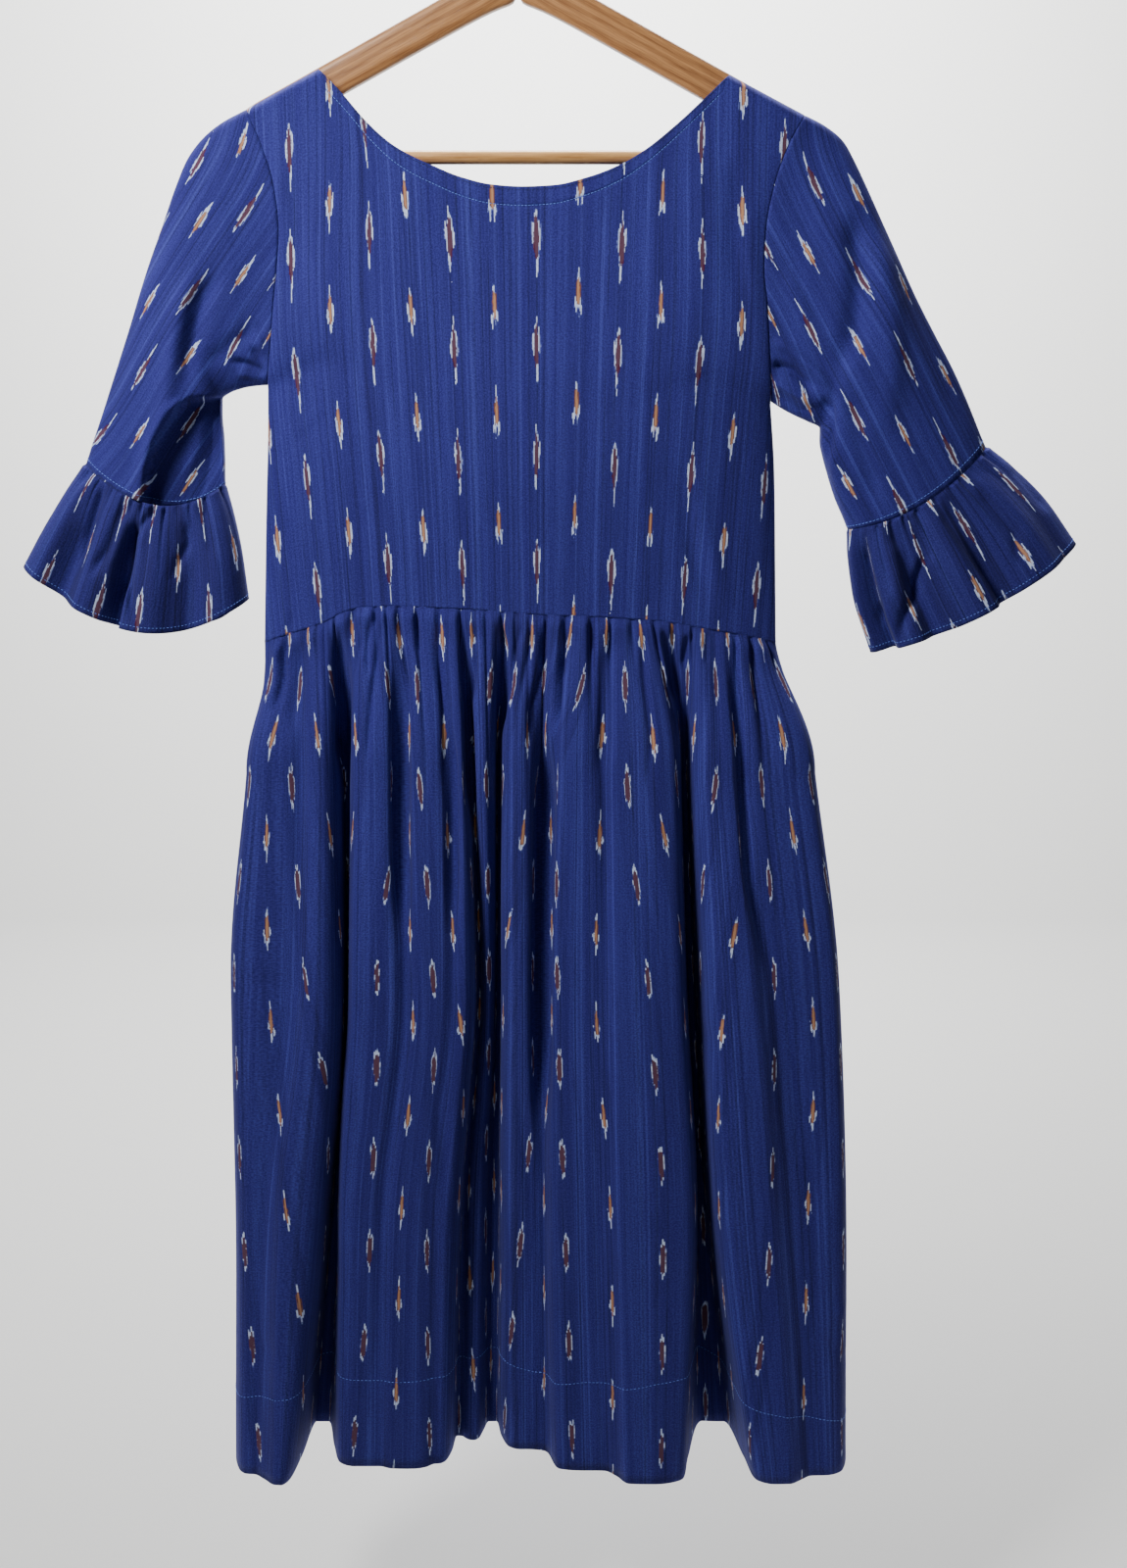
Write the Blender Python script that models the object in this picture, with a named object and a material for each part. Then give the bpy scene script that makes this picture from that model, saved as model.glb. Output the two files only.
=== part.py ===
# A cotton ikat midi dress hanging on a wooden hanger.
#
# The dress is built from the pieces a maker cuts and sews: bodice front and back, two
# elbow sleeves, two gathered ruffle cuffs, and a gathered skirt front and back. Each is
# an open cloth wall. The hanger is two wooden arms, a trouser bar and a wire hook.
# The origin is the inner top of the hook, +Z is up and the front of the dress faces -Y.
# Sizes in this file are millimetres. Meshes are written in metres.

import math
from collections import namedtuple

import bmesh
import bpy
from mathutils import Vector

for old_object in list(bpy.data.objects):
    bpy.data.objects.remove(old_object)

# Driving dimensions

MM = 0.001
CLOTH = 1.2
SEAM_GAP = 0.3

WAIST_LEFT = -206.0
WAIST_RIGHT = 205.0
HEM_Z = -1280.0
HEM_LIFT = 18.0
HEM_LIFT_STARTS = -1065.0
GATHERS = 38

HOOK_ROD = 3.5
HOOK_INNER_RADIUS = 20.0
HOOK_LEAVES_AT = math.radians(50)
HOOK_TIP_AT = math.radians(205)
WOOD_TOP = -70.0
WOOD_THICK = 12.0
WOOD_ROUNDING = 3.5
BAR_Z = -214.7
BAR_RADIUS = 5.2
BAR_HALF_LENGTH = 205.0

# Outlines of the bodice, as (x, z) in the plane of the hanger

LEFT_SIDE = ((-206.0, -585.9), (-204.0, -539.6), (-201.3, -480.1), (-198.3, -422.2), (-197.1, -384.6))
RIGHT_SIDE = ((205.0, -585.9), (203.4, -528.7), (200.9, -451.8), (196.6, -397.0))
LEFT_ARMHOLE = (
    (-197.1, -384.6), (-192.3, -353.6), (-189.1, -325.0), (-185.6, -296.7),
    (-183.3, -268.6), (-186.4, -235.7), (-194.5, -208.0), (-206.4, -180.1),
)
RIGHT_ARMHOLE = (
    (196.6, -397.0), (193.6, -360.9), (191.0, -325.0), (187.7, -296.7),
    (188.7, -268.6), (194.7, -235.7), (204.5, -208.0), (217.5, -184.3),
)
LEFT_SHOULDER = ((-206.4, -180.1), (-151.7, -151.9))
RIGHT_SHOULDER = ((160.9, -156.1), (217.5, -184.3))
FRONT_NECK = (
    (-151.7, -151.9), (-133.9, -169.8), (-114.4, -191.8), (-97.7, -206.5), (-83.0, -215.4),
    (-66.0, -223.0), (-43.1, -231.9), (-20.0, -237.2), (3.4, -238.6), (26.9, -237.6),
    (52.9, -231.9), (78.9, -222.0), (95.9, -212.2), (118.7, -194.6), (138.5, -177.0), (160.9, -156.1),
)
FRONT_WAIST = (
    (-206.0, -585.9), (-189.4, -580.0), (-161.3, -571.1), (-151.1, -566.8), (-140.7, -561.0),
    (-125.4, -557.2), (-97.6, -556.0), (-68.3, -556.7), (-39.0, -557.9), (-9.7, -560.4), (22.7, -562.6),
    (60.0, -564.0), (110.1, -567.8), (137.9, -572.4), (169.7, -578.0), (205.0, -585.9),
)
BACK_WAIST = ((-206.0, -585.9), (-150.0, -577.0), (-75.0, -571.0), (0.0, -569.5), (80.0, -572.0),
              (150.0, -578.5), (205.0, -585.9))
BACK_NECK_DROP = 7.0

# How far a bodice panel stands off the plane of the hanger, row by row up the panel.
# Columns: share of the height, front, back.

BODICE_DEPTHS = (
    (0.00, 26.0, 22.0),
    (0.18, 28.0, 23.0),
    (0.36, 31.0, 24.0),
    (0.55, 28.0, 23.0),
    (0.75, 21.0, 19.0),
    (0.90, 17.0, 16.0),
    (1.00, 16.0, 14.0),
)
UNDERARM_SHARE = 0.49
BODICE_ROWS = (0.0, 0.11, 0.23, 0.36, 0.49, 0.4975, 0.515, 0.56, 0.63, 0.71, 0.79, 0.86,
               0.92, 0.96, 0.98, 0.9925, 1.0)
BODICE_COLUMNS = 22
SHOULDER_COLUMNS = 5
NECK_TURN_COLUMNS = (0.006, 0.016)
ARMHOLE_HALF_DEPTH = 13.0
UNDERARM_ROUNDING = 0.22
SHOULDER_ROUNDING = 8.0

# Sleeve sections from armhole to cuff seam, in the plane of the hanger.
# Columns: outer x, outer z, inner x, inner z, half depth, sag of the middle, fold depth.

LEFT_SLEEVE = (
    (-206.4, -180.1, -197.1, -384.6, 13.0, 0.0, 0.0),
    (-224.0, -188.6, -205.0, -385.0, 15.0, 0.0, 0.0),
    (-238.7, -198.6, -213.3, -385.8, 17.0, 0.0, 0.0),
    (-252.4, -214.4, -221.5, -387.8, 19.0, 0.0, 0.0),
    (-263.0, -235.7, -228.5, -390.8, 21.0, 0.0, 0.0),
    (-276.0, -268.9, -234.0, -396.0, 24.0, 0.0, 0.0),
    (-291.0, -308.3, -234.4, -410.0, 27.0, 2.0, 3.0),
    (-305.8, -348.9, -233.4, -425.0, 28.0, 8.0, 7.0),
    (-322.4, -392.9, -233.1, -442.0, 26.0, 15.0, 10.0),
    (-342.1, -445.0, -233.6, -461.0, 22.0, 24.0, 9.0),
)
RIGHT_SLEEVE = (
    (217.5, -184.3, 196.6, -397.0, 13.0, 0.0, 0.0),
    (232.6, -191.2, 201.5, -400.0, 15.0, 0.0, 0.0),
    (247.9, -202.8, 207.5, -403.4, 17.0, 0.0, 0.0),
    (256.4, -216.6, 217.0, -408.0, 19.0, 0.0, 0.0),
    (264.2, -231.8, 227.0, -412.6, 21.0, 0.0, 0.0),
    (277.2, -258.1, 236.2, -418.0, 24.0, 0.0, 2.0),
    (292.0, -287.3, 236.4, -428.5, 27.0, 0.0, 6.0),
    (306.8, -316.4, 239.0, -440.5, 28.0, 2.0, 7.0),
    (323.2, -346.0, 243.0, -454.0, 27.0, 5.0, 6.0),
    (339.6, -375.6, 248.6, -471.0, 25.0, 8.0, 4.0),
    (366.6, -432.0, 260.3, -496.2, 22.0, 12.0, 2.0),
)
SLEEVE_FOLD_FROM = 0.09
SLEEVE_FOLD_TO = 0.50
SLEEVE_FOLD_MIDDLE = 0.29
SLEEVE_SETTLES_BY = 2.0
ARMHOLE_SHAPE_GONE_BY = 4.0
ARMHOLE_SHAPE_FADE = 1.5
SLEEVE_FULLNESS = 0.8
SAG_SIDEWAYS = 0.15

# Ruffle sections from the cuff seam down to its hem: small gathers that open into folds.
# Columns: outer x, outer z, inner x, inner z, half depth, sag of the middle, wave height,
# waves round the ring, and where the first crown lies, in waves from the inner end.

LEFT_RUFFLE = (
    (-342.1, -445.0, -233.6, -461.0, 22.0, 24.0, 0.8, 20, 0.0),
    (-352.0, -459.0, -229.5, -474.0, 24.0, 27.0, 3.6, 20, 0.0),
    (-370.0, -489.0, -222.5, -508.0, 27.0, 33.0, 6.5, 8, 0.66),
    (-391.6, -526.1, -217.5, -551.0, 30.0, 37.0, 8.5, 8, 0.66),
)
RIGHT_RUFFLE = (
    (366.6, -432.0, 260.3, -496.2, 22.0, 12.0, 0.8, 20, 0.0),
    (379.5, -441.5, 260.0, -510.0, 24.0, 12.0, 3.6, 20, 0.0),
    (409.0, -469.0, 265.5, -546.0, 27.0, 13.0, 6.5, 8, 0.62),
    (439.1, -508.6, 281.5, -593.0, 30.0, 12.0, 8.5, 8, 0.62),
)
RUFFLE_STEPS = 80
RUFFLE_EVENNESS = 0.8
RUFFLE_SLOW_WAVES = 5
RUFFLE_END_WAVES = 0.35

# Skirt folds, left to right as seen from the front. `seam` is where the fold's cloth
# starts and ends on the waist seam. Each other column is a section across the fold:
# left x, right x, how far its crown stands out, and how far the gully after it does.
# `deep` says that the gully after the fold is a narrow deep one.

Fold = namedtuple("Fold", "name seam hip thigh knee hem deep")
Level = namedtuple("Level", "column z")

FOLD_LEVELS = (Level("hip", -690.0), Level("thigh", -860.0), Level("knee", -1065.0), Level("hem", HEM_Z))

FRONT_FOLDS = (
    Fold("left outer", (-206, -175), (-221, -178, 34, 31), (-238, -184, 47, 49),
         (-240, -206, 56, 61), (-246, -218, 62, 70), False),
    Fold("left inner", (-175, -147), (-172, -145, 40, 8), (-178, -146, 57, 6),
         (-203, -163, 68, 6), (-212, -189, 78, 6), True),
    Fold("second left", (-130, -98), (-137, -98, 42, 33), (-141, -97, 52, 45),
         (-155, -118, 54, 51), (-162, -124, 53, 53), False),
    Fold("second middle", (-98, -56), (-91, -55, 44, 39), (-89, -56, 52, 48),
         (-112, -78, 54, 52), (-118, -84, 56, 54), False),
    Fold("second right", (-54, -43), (-53, -40, 43, 22), (-53, -38, 50, 14),
         (-75, -53, 50, 13), (-80, -61, 50, 20), True),
    Fold("narrow", (-38, -20), (-36, -21, 40, 12), (-32, -23, 27, 8),
         (-46, -31, 20, 6), (-50, -36, 24, 6), True),
    Fold("centre left", (-10, 14), (-15, 13, 43, 27), (-16, 13, 47, 37),
         (-19, 13, 38, 37), (-19, 13, 34, 36), False),
    Fold("centre", (32, 64), (23, 64, 45, 40), (18, 66, 52, 53),
         (20, 70, 56, 60), (24, 76, 58, 65), False),
    Fold("centre right", (67, 110), (68, 128, 45, 8), (71, 134, 60, 6),
         (75, 145, 68, 6), (82, 141, 76, 6), True),
    Fold("right inner", (135, 168), (136, 175, 40, 34), (145, 192, 60, 52),
         (158, 212, 68, 61), (188, 230, 76, 70), False),
    Fold("right outer", (171, 205), (179, 237, 33, 0), (198, 260, 45, 0),
         (218, 271, 54, 0), (235, 276, 64, 0), False),
)

BACK_FOLDS = (
    Fold("left outer", (-206, -168), (-221, -176, 30, 24), (-238, -190, 40, 34),
         (-240, -200, 48, 44), (-246, -206, 54, 48), False),
    Fold("left inner", (-164, -136), (-170, -136, 34, 7), (-182, -138, 44, 6),
         (-194, -146, 52, 6), (-200, -158, 60, 6), True),
    Fold("second left", (-122, -86), (-128, -90, 36, 29), (-130, -88, 44, 38),
         (-136, -92, 50, 44), (-136, -94, 54, 50), False),
    Fold("second right", (-82, -42), (-84, -46, 36, 8), (-82, -42, 45, 7),
         (-86, -44, 50, 6), (-88, -50, 56, 6), True),
    Fold("centre left", (-28, 12), (-37, 6, 37, 31), (-34, 10, 44, 39),
         (-34, 12, 48, 43), (-28, 16, 52, 46), False),
    Fold("centre right", (18, 58), (12, 56, 37, 9), (16, 62, 46, 7),
         (18, 68, 54, 6), (22, 72, 60, 6), True),
    Fold("third", (70, 104), (65, 100, 36, 30), (70, 108, 44, 38),
         (78, 118, 50, 43), (90, 128, 54, 46), False),
    Fold("right inner", (108, 142), (106, 146, 36, 7), (114, 158, 46, 6),
         (124, 172, 54, 6), (134, 180, 62, 6), True),
    Fold("right middle", (156, 178), (156, 190, 34, 28), (168, 208, 42, 36),
         (184, 222, 48, 42), (200, 232, 52, 46), False),
    Fold("right outer", (182, 205), (196, 237, 30, 0), (214, 260, 38, 0),
         (228, 271, 46, 0), (238, 276, 52, 0), False),
)

LIP_ROUNDING = 7.0
LIP_SHARE = 0.25
LIP_HEIGHT = 0.90
SIDE_TUCK = 4.0
GULLY_FLOOR_SHARE = 0.30
SIDE_SPOTS = 3.0
GATHER_STEPS = 4
GATHER_SWAYS = ((2, 0.004), (7, 0.002))
FOLD_OPENING = 1.4

# Where the spots of one fold meet the waist seam, as shares of the fold's part of it, and
# those of a deep gully as shares of the gap after the fold.

FOLD_SEAM_SHARES = (0.22, 0.5, 0.78)
FOLD_SIDE_SHARE = 0.10
GULLY_SEAM_SHARES = (-0.05, 0.3, 0.7)

# Rows down the skirt below the waist seam, and how high the gathers stand there.
# Columns: drop, wave height. Below the last of these rows only the folds go on.

GATHER_ROWS = ((0.0, 0.9), (12.0, 2.8), (62.0, 1.3))
FOLD_ROWS = (-690.0, -770.0, -860.0, -960.0, -1065.0, -1175.0, HEM_Z)
FOLDS_FULL_AT = -690.0

Spot = namedtuple("Spot", "across point facing")

# Small helpers


def smooth_between(stops, values, at):
    """Monotone cubic curve through a short table, read at one place."""
    if at <= stops[0]:
        return values[0]
    if at >= stops[-1]:
        return values[-1]
    last = len(stops) - 1
    step = next(i for i in range(last) if at <= stops[i + 1])
    slopes = [(values[i + 1] - values[i]) / (stops[i + 1] - stops[i]) for i in range(last)]

    def tangent(index):
        if index == 0:
            return slopes[0]
        if index == last:
            return slopes[-1]
        before, after = slopes[index - 1], slopes[index]
        if before * after <= 0.0:
            return 0.0
        return 2.0 * before * after / (before + after)

    width = stops[step + 1] - stops[step]
    t = (at - stops[step]) / width
    return (values[step] * (2 * t ** 3 - 3 * t ** 2 + 1)
            + tangent(step) * width * (t ** 3 - 2 * t ** 2 + t)
            + values[step + 1] * (3 * t ** 2 - 2 * t ** 3)
            + tangent(step + 1) * width * (t ** 3 - t ** 2))


def along(outline, share):
    """Point at a share of the way along an outline of (x, z) points, on a smooth curve."""
    lengths = [0.0]
    for (x0, z0), (x1, z1) in zip(outline, outline[1:]):
        lengths.append(lengths[-1] + math.hypot(x1 - x0, z1 - z0))
    place = share * lengths[-1]
    x = smooth_between(lengths, [point[0] for point in outline], place)
    z = smooth_between(lengths, [point[1] for point in outline], place)
    return Vector((x, 0.0, z))


def column(table, index):
    return [row[index] for row in table]


def round_rise(share):
    """Quarter circle from 0 at share 0 to 1 at share 1 and beyond."""
    return math.sqrt(max(0.0, 1.0 - (1.0 - min(1.0, share)) ** 2))


def cloth_material(name, colour, roughness, metallic=0.0):
    material = bpy.data.materials.new(name)
    material.use_nodes = True
    shader = material.node_tree.nodes["Principled BSDF"]
    shader.inputs["Base Color"].default_value = (*colour, 1.0)
    shader.inputs["Roughness"].default_value = roughness
    shader.inputs["Metallic"].default_value = metallic
    material.diffuse_color = (*colour, 1.0)
    return material


def join_rows(mesh, upper, lower, flip):
    """Faces between two rows of (across, vertex), whose counts may differ."""
    i = j = 0
    while i < len(upper) - 1 or j < len(lower) - 1:
        next_upper = upper[i + 1][0] if i < len(upper) - 1 else math.inf
        next_lower = lower[j + 1][0] if j < len(lower) - 1 else math.inf
        corners = [upper[i][1], lower[j][1]]
        if next_lower <= next_upper + 1e-6:
            corners.append(lower[j + 1][1])
        if next_upper <= next_lower + 1e-6:
            corners.append(upper[i + 1][1])
        if next_lower <= next_upper + 1e-6:
            j += 1
        if corners[-1] is not lower[j][1]:
            i += 1
        if flip:
            corners.reverse()
        mesh.faces.new(corners)


def cloth_wall(name, rows, material, flip=False, closed=False):
    """A cloth wall from rows of spots on its outer face, listed top to bottom."""
    mesh = bmesh.new()
    laid = []
    facings = {}
    for row in rows:
        strip = []
        for spot in row:
            vertex = mesh.verts.new(spot.point * MM)
            if spot.facing is not None:
                facings[vertex] = spot.facing
            strip.append((spot.across, vertex))
        if closed:
            strip.append((row[-1].across + 1.0, strip[0][1]))
        laid.append(strip)
    for upper, lower in zip(laid, laid[1:]):
        join_rows(mesh, upper, lower, flip)
    bmesh.ops.triangulate(mesh, faces=mesh.faces[:], quad_method="SHORT_EDGE")
    mesh.normal_update()

    outer_faces = mesh.faces[:]
    rim = [edge.link_loops[0] for edge in mesh.edges if edge.is_boundary]
    rim_pairs = [(loop.vert, loop.link_loop_next.vert) for loop in rim]
    inner = {}
    for vertex in mesh.verts[:]:
        facing = facings.get(vertex, vertex.normal)
        inner[vertex] = mesh.verts.new(vertex.co - facing * CLOTH * MM)
    for face in outer_faces:
        mesh.faces.new([inner[vertex] for vertex in reversed(face.verts[:])])
    for first, second in rim_pairs:
        mesh.faces.new((second, first, inner[first], inner[second]))
    bmesh.ops.triangulate(mesh, faces=[face for face in mesh.faces if len(face.verts) > 3])
    for face in mesh.faces:
        face.smooth = True
    data = bpy.data.meshes.new(name)
    mesh.to_mesh(data)
    mesh.free()
    return place_object(name, data, material)


def place_object(name, data, material):
    piece = bpy.data.objects.new(name, data)
    bpy.context.scene.collection.objects.link(piece)
    data.materials.append(material)
    return piece


# Bodice


def crowded_share(index):
    """Columns crowd towards the side seams, where the panel turns round."""
    return 0.5 * (1.0 - math.cos(math.pi * index / BODICE_COLUMNS))


SHOULDER_SHARE = crowded_share(SHOULDER_COLUMNS)


def column_shares():
    """Every column of a bodice panel, with more where the neck edge leaves the hanger."""
    shares = [crowded_share(index) for index in range(BODICE_COLUMNS + 1)]
    for step in NECK_TURN_COLUMNS:
        shares += [SHOULDER_SHARE + step, 1.0 - SHOULDER_SHARE - step]
    return sorted(shares)


COLUMN_SHARES = column_shares()


def panel_top(share, back):
    if share <= SHOULDER_SHARE:
        return along(LEFT_SHOULDER, share / SHOULDER_SHARE)
    if share >= 1.0 - SHOULDER_SHARE:
        return along(RIGHT_SHOULDER, (share - 1.0 + SHOULDER_SHARE) / SHOULDER_SHARE)
    neck_share = (share - SHOULDER_SHARE) / (1.0 - 2.0 * SHOULDER_SHARE)
    point = along(FRONT_NECK, neck_share)
    if back:
        point.z -= BACK_NECK_DROP * math.sin(math.pi * neck_share) ** 2
    return point


def panel_edge(side_seam, armhole, height):
    if height < UNDERARM_SHARE:
        return along(side_seam, height / UNDERARM_SHARE)
    return along(armhole, (height - UNDERARM_SHARE) / (1.0 - UNDERARM_SHARE))


def armhole_depth(height):
    """Half depth of the armhole loop at a share of the panel's height."""
    if height <= UNDERARM_SHARE:
        return 0.0
    up = (height - UNDERARM_SHARE) / (1.0 - UNDERARM_SHARE)
    return ARMHOLE_HALF_DEPTH * round_rise(up / UNDERARM_ROUNDING)


def shoulder_rise(point):
    """How far the cloth has turned over the hanger: 0 at a shoulder seam, 1 well below it."""
    nearest = math.inf
    for (x0, z0), (x1, z1) in (LEFT_SHOULDER, RIGHT_SHOULDER):
        run = Vector((x1 - x0, z1 - z0))
        reach = Vector((point.x - x0, point.z - z0))
        part = min(max(reach.dot(run) / run.length_squared, 0.0), 1.0)
        nearest = min(nearest, (reach - run * part).length)
    return round_rise(nearest / SHOULDER_ROUNDING)


def panel_depth(point, share, height, back):
    stand = smooth_between(column(BODICE_DEPTHS, 0), column(BODICE_DEPTHS, 2 if back else 1), height)
    edge = armhole_depth(height)
    depth = edge + (stand - edge) * math.sqrt(max(0.0, 1.0 - (1.0 - 2.0 * share) ** 2))
    return depth * shoulder_rise(point)


def end_direction(side, up):
    """Which way the armhole seam faces, in the hanger's plane, from underarm to shoulder."""
    low = Vector((side * 0.7, 0.0, -0.7))
    high = Vector((side * 0.46, 0.0, 0.89))
    return low.lerp(high, up).normalized()


def armhole_facing(side, height, outward):
    up = (height - UNDERARM_SHARE) / (1.0 - UNDERARM_SHARE)
    edge = panel_edge(None, LEFT_ARMHOLE if side < 0 else RIGHT_ARMHOLE, height)
    flatness = armhole_depth(height) / ARMHOLE_HALF_DEPTH * shoulder_rise(edge)
    turned = end_direction(side, up) * math.sqrt(1.0 - flatness ** 2)
    return (turned + Vector((0.0, outward * flatness, 0.0))).normalized()


def panel_point(share, height, back):
    """Coons patch between waist, side, armhole, shoulder and neck, then stood off the plane."""
    waist = BACK_WAIST if back else FRONT_WAIST
    bottom = along(waist, share)
    top = panel_top(share, back)
    left = panel_edge(LEFT_SIDE, LEFT_ARMHOLE, height)
    right = panel_edge(RIGHT_SIDE, RIGHT_ARMHOLE, height)
    corners = ((1 - share) * (1 - height) * along(waist, 0.0)
               + share * (1 - height) * along(waist, 1.0)
               + (1 - share) * height * panel_top(0.0, back)
               + share * height * panel_top(1.0, back))
    point = (1 - height) * bottom + height * top + (1 - share) * left + share * right - corners
    outward = 1.0 if back else -1.0
    point.y = outward * (SEAM_GAP / 2 + panel_depth(point, share, height, back))
    return point


def waist_facing(share, back):
    """Level direction straight out of the waist seam."""
    step = 0.004
    before = panel_point(max(0.0, share - step), 0.0, back)
    after = panel_point(min(1.0, share + step), 0.0, back)
    tangent = after - before
    facing = Vector((tangent.y, -tangent.x, 0.0)).normalized()
    return -facing if back else facing


def panel_facing(share, height, back):
    """Set direction at a seam, or None inside the panel and along the neck."""
    outward = 1.0 if back else -1.0
    side = -1.0 if share == 0.0 else 1.0
    at_side = share in (0.0, 1.0)
    if at_side and height > UNDERARM_SHARE:
        return armhole_facing(side, height, outward)
    if at_side and height == UNDERARM_SHARE:
        return end_direction(side, 0.0)
    if at_side:
        return Vector((side, 0.0, 0.0))
    if height == 0.0:
        return waist_facing(share, back)
    if height == 1.0 and share <= SHOULDER_SHARE:
        return end_direction(-1.0, 1.0)
    if height == 1.0 and share >= 1.0 - SHOULDER_SHARE:
        return end_direction(1.0, 1.0)
    return None


def make_bodice_panel(name, back, material):
    rows = []
    for height in reversed(BODICE_ROWS):
        row = []
        for share in COLUMN_SHARES:
            facing = panel_facing(share, height, back)
            row.append(Spot(share, panel_point(share, height, back), facing))
        rows.append(row)
    return cloth_wall(name, rows, material, flip=back)


# Sleeves and ruffles


def armhole_loop(side):
    """Armhole seam from underarm up the front, over the shoulder and down the back."""
    share = 0.0 if side < 0 else 1.0
    heights = [height for height in BODICE_ROWS if height >= UNDERARM_SHARE]
    loop = []
    for back in (False, True):
        outward = 1.0 if back else -1.0
        used = heights if not back else heights[-2:0:-1]
        for height in used:
            point = panel_point(share, height, back)
            if height in (UNDERARM_SHARE, 1.0):
                point.y = 0.0
            up = (height - UNDERARM_SHARE) / (1.0 - UNDERARM_SHARE)
            loop.append((up, outward, point, armhole_facing(side, height, outward)))
    return loop


def ring_frame(sections, at):
    """Outer end, inner end, half depth and sag of a sleeve or ruffle, part way down it."""
    stops = list(range(len(sections)))
    values = [smooth_between(stops, column(sections, i), at) for i in range(len(sections[0]))]
    outer = Vector((values[0], 0.0, values[1]))
    inner = Vector((values[2], 0.0, values[3]))
    sag = Vector((SAG_SIDEWAYS * values[5], 0.0, -values[5]))
    return outer, inner, values[4], sag, values[6]


def seam_shift(ring, index, facing, towards):
    """Direction across a seam at one point of a closed ring, away from the first piece."""
    tangent = ring[(index + 1) % len(ring)] - ring[index - 1]
    across = tangent.cross(facing).normalized()
    return across if across.dot(towards) > 0 else -across


def sleeve_fold(up, amount):
    """Soft dent in the front of the lower sleeve, deepest between two shares of the ring."""
    if not SLEEVE_FOLD_FROM < up < SLEEVE_FOLD_TO:
        return 0.0
    turn = (up - SLEEVE_FOLD_MIDDLE) / (SLEEVE_FOLD_TO - SLEEVE_FOLD_MIDDLE)
    return amount * math.cos(0.5 * math.pi * turn) ** 2


def sleeve_ring(side, sections, at):
    """Closed ring of (up, outward, point, facing) at one place down the sleeve."""
    loop = armhole_loop(side)
    outer, inner, half_depth, sag, fold = ring_frame(sections, at)
    top, underarm = loop[len(loop) // 2][2], loop[0][2]
    follow = max(0.0, 1.0 - at / ARMHOLE_SHAPE_GONE_BY) ** ARMHOLE_SHAPE_FADE
    axis = (outer - inner).normalized()
    ring = []
    for up, outward, armhole_point, _facing in loop:
        start = underarm.lerp(top, up)
        bend = armhole_point - start
        roundness = 2.0 * math.sqrt(max(0.0, up * (1.0 - up)))
        point = inner.lerp(outer, up) + sag * 4.0 * up * (1.0 - up)
        point += Vector((bend.x, 0.0, bend.z)) * follow
        depth = half_depth * roundness ** SLEEVE_FULLNESS
        if outward < 0:
            depth -= sleeve_fold(up, fold)
        settle = min(1.0, at / SLEEVE_SETTLES_BY)
        point.y = outward * depth * settle + bend.y * (1.0 - settle)
        facing = (axis * (2.0 * up - 1.0) + Vector((0.0, outward * roundness, 0.0))).normalized()
        ring.append((up, outward, point, facing))
    return ring


def make_sleeve(name, side, sections, material):
    down_the_arm = Vector((0.4 * side, 0.0, -1.0))
    first = armhole_loop(side)
    points = [entry[2] for entry in first]
    rows = [[]]
    for index, (_up, _outward, point, facing) in enumerate(first):
        shift = seam_shift(points, index, facing, Vector((side, 0.0, 0.0)))
        rows[0].append(Spot(float(index), point + shift * SEAM_GAP, facing))
    last = len(sections) - 1
    for at in range(1, last + 1):
        ring = sleeve_ring(side, sections, at)
        points = [entry[2] for entry in ring]
        row = []
        for index, (_up, _outward, point, facing) in enumerate(ring):
            if at == last:
                point = point - seam_shift(points, index, facing, down_the_arm) * SEAM_GAP
            row.append(Spot(float(index), point, facing if at == last else None))
        rows.append(row)
    return cloth_wall(name, rows, material, flip=side < 0, closed=True)


def make_ruffle(name, side, sleeve_sections, sections, material):
    seam = sleeve_ring(side, sleeve_sections, len(sleeve_sections) - 1)
    count = RUFFLE_STEPS
    lengths = [0.0]
    for index in range(len(seam)):
        gap = seam[(index + 1) % len(seam)][2] - seam[index][2]
        lengths.append(lengths[-1] + gap.length)
    seam_outer, seam_inner, _depth, seam_sag, _wave = ring_frame(sections, 0)
    rows = []
    for at, section in enumerate(sections):
        outer, inner, half_depth, sag, wave = ring_frame(sections, at)
        waves, first_crown = section[7:]
        axis = (outer - inner).normalized()
        row = []
        for step in range(count):
            place = lengths[-1] * step / count
            index = next(i for i in range(len(seam)) if place <= lengths[i + 1])
            part = (place - lengths[index]) / (lengths[index + 1] - lengths[index])
            here, there = seam[index], seam[(index + 1) % len(seam)]
            up = here[0] + (there[0] - here[0]) * part
            base = here[2].lerp(there[2], part)
            facing = here[3].lerp(there[3], part).normalized()
            straight = seam_inner.lerp(seam_outer, up) + seam_sag * 4.0 * up * (1.0 - up)
            stray = base - straight
            point = inner.lerp(outer, up) + sag * 4.0 * up * (1.0 - up)
            point += Vector((stray.x, 0.0, stray.z))
            point.y = base.y * half_depth / sections[0][4]
            out = (axis * (2.0 * up - 1.0) + Vector((0.0, facing.y, 0.0)))
            out = facing if at == 0 else out.normalized()
            slow = math.sin(RUFFLE_SLOW_WAVES * math.tau * step / count + side)
            evenness = 1.0 if at == 0 else RUFFLE_EVENNESS + (1.0 - RUFFLE_EVENNESS) * slow
            ends = RUFFLE_END_WAVES + (1.0 - RUFFLE_END_WAVES) * abs(facing.y)
            turn = waves * step / count - first_crown
            point += out * wave * evenness * ends * math.cos(math.tau * turn)
            row.append(Spot(float(step), point, facing if at == 0 else None))
        rows.append(row)
    return cloth_wall(name, rows, material, flip=side < 0, closed=True)


# Skirt


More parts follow.
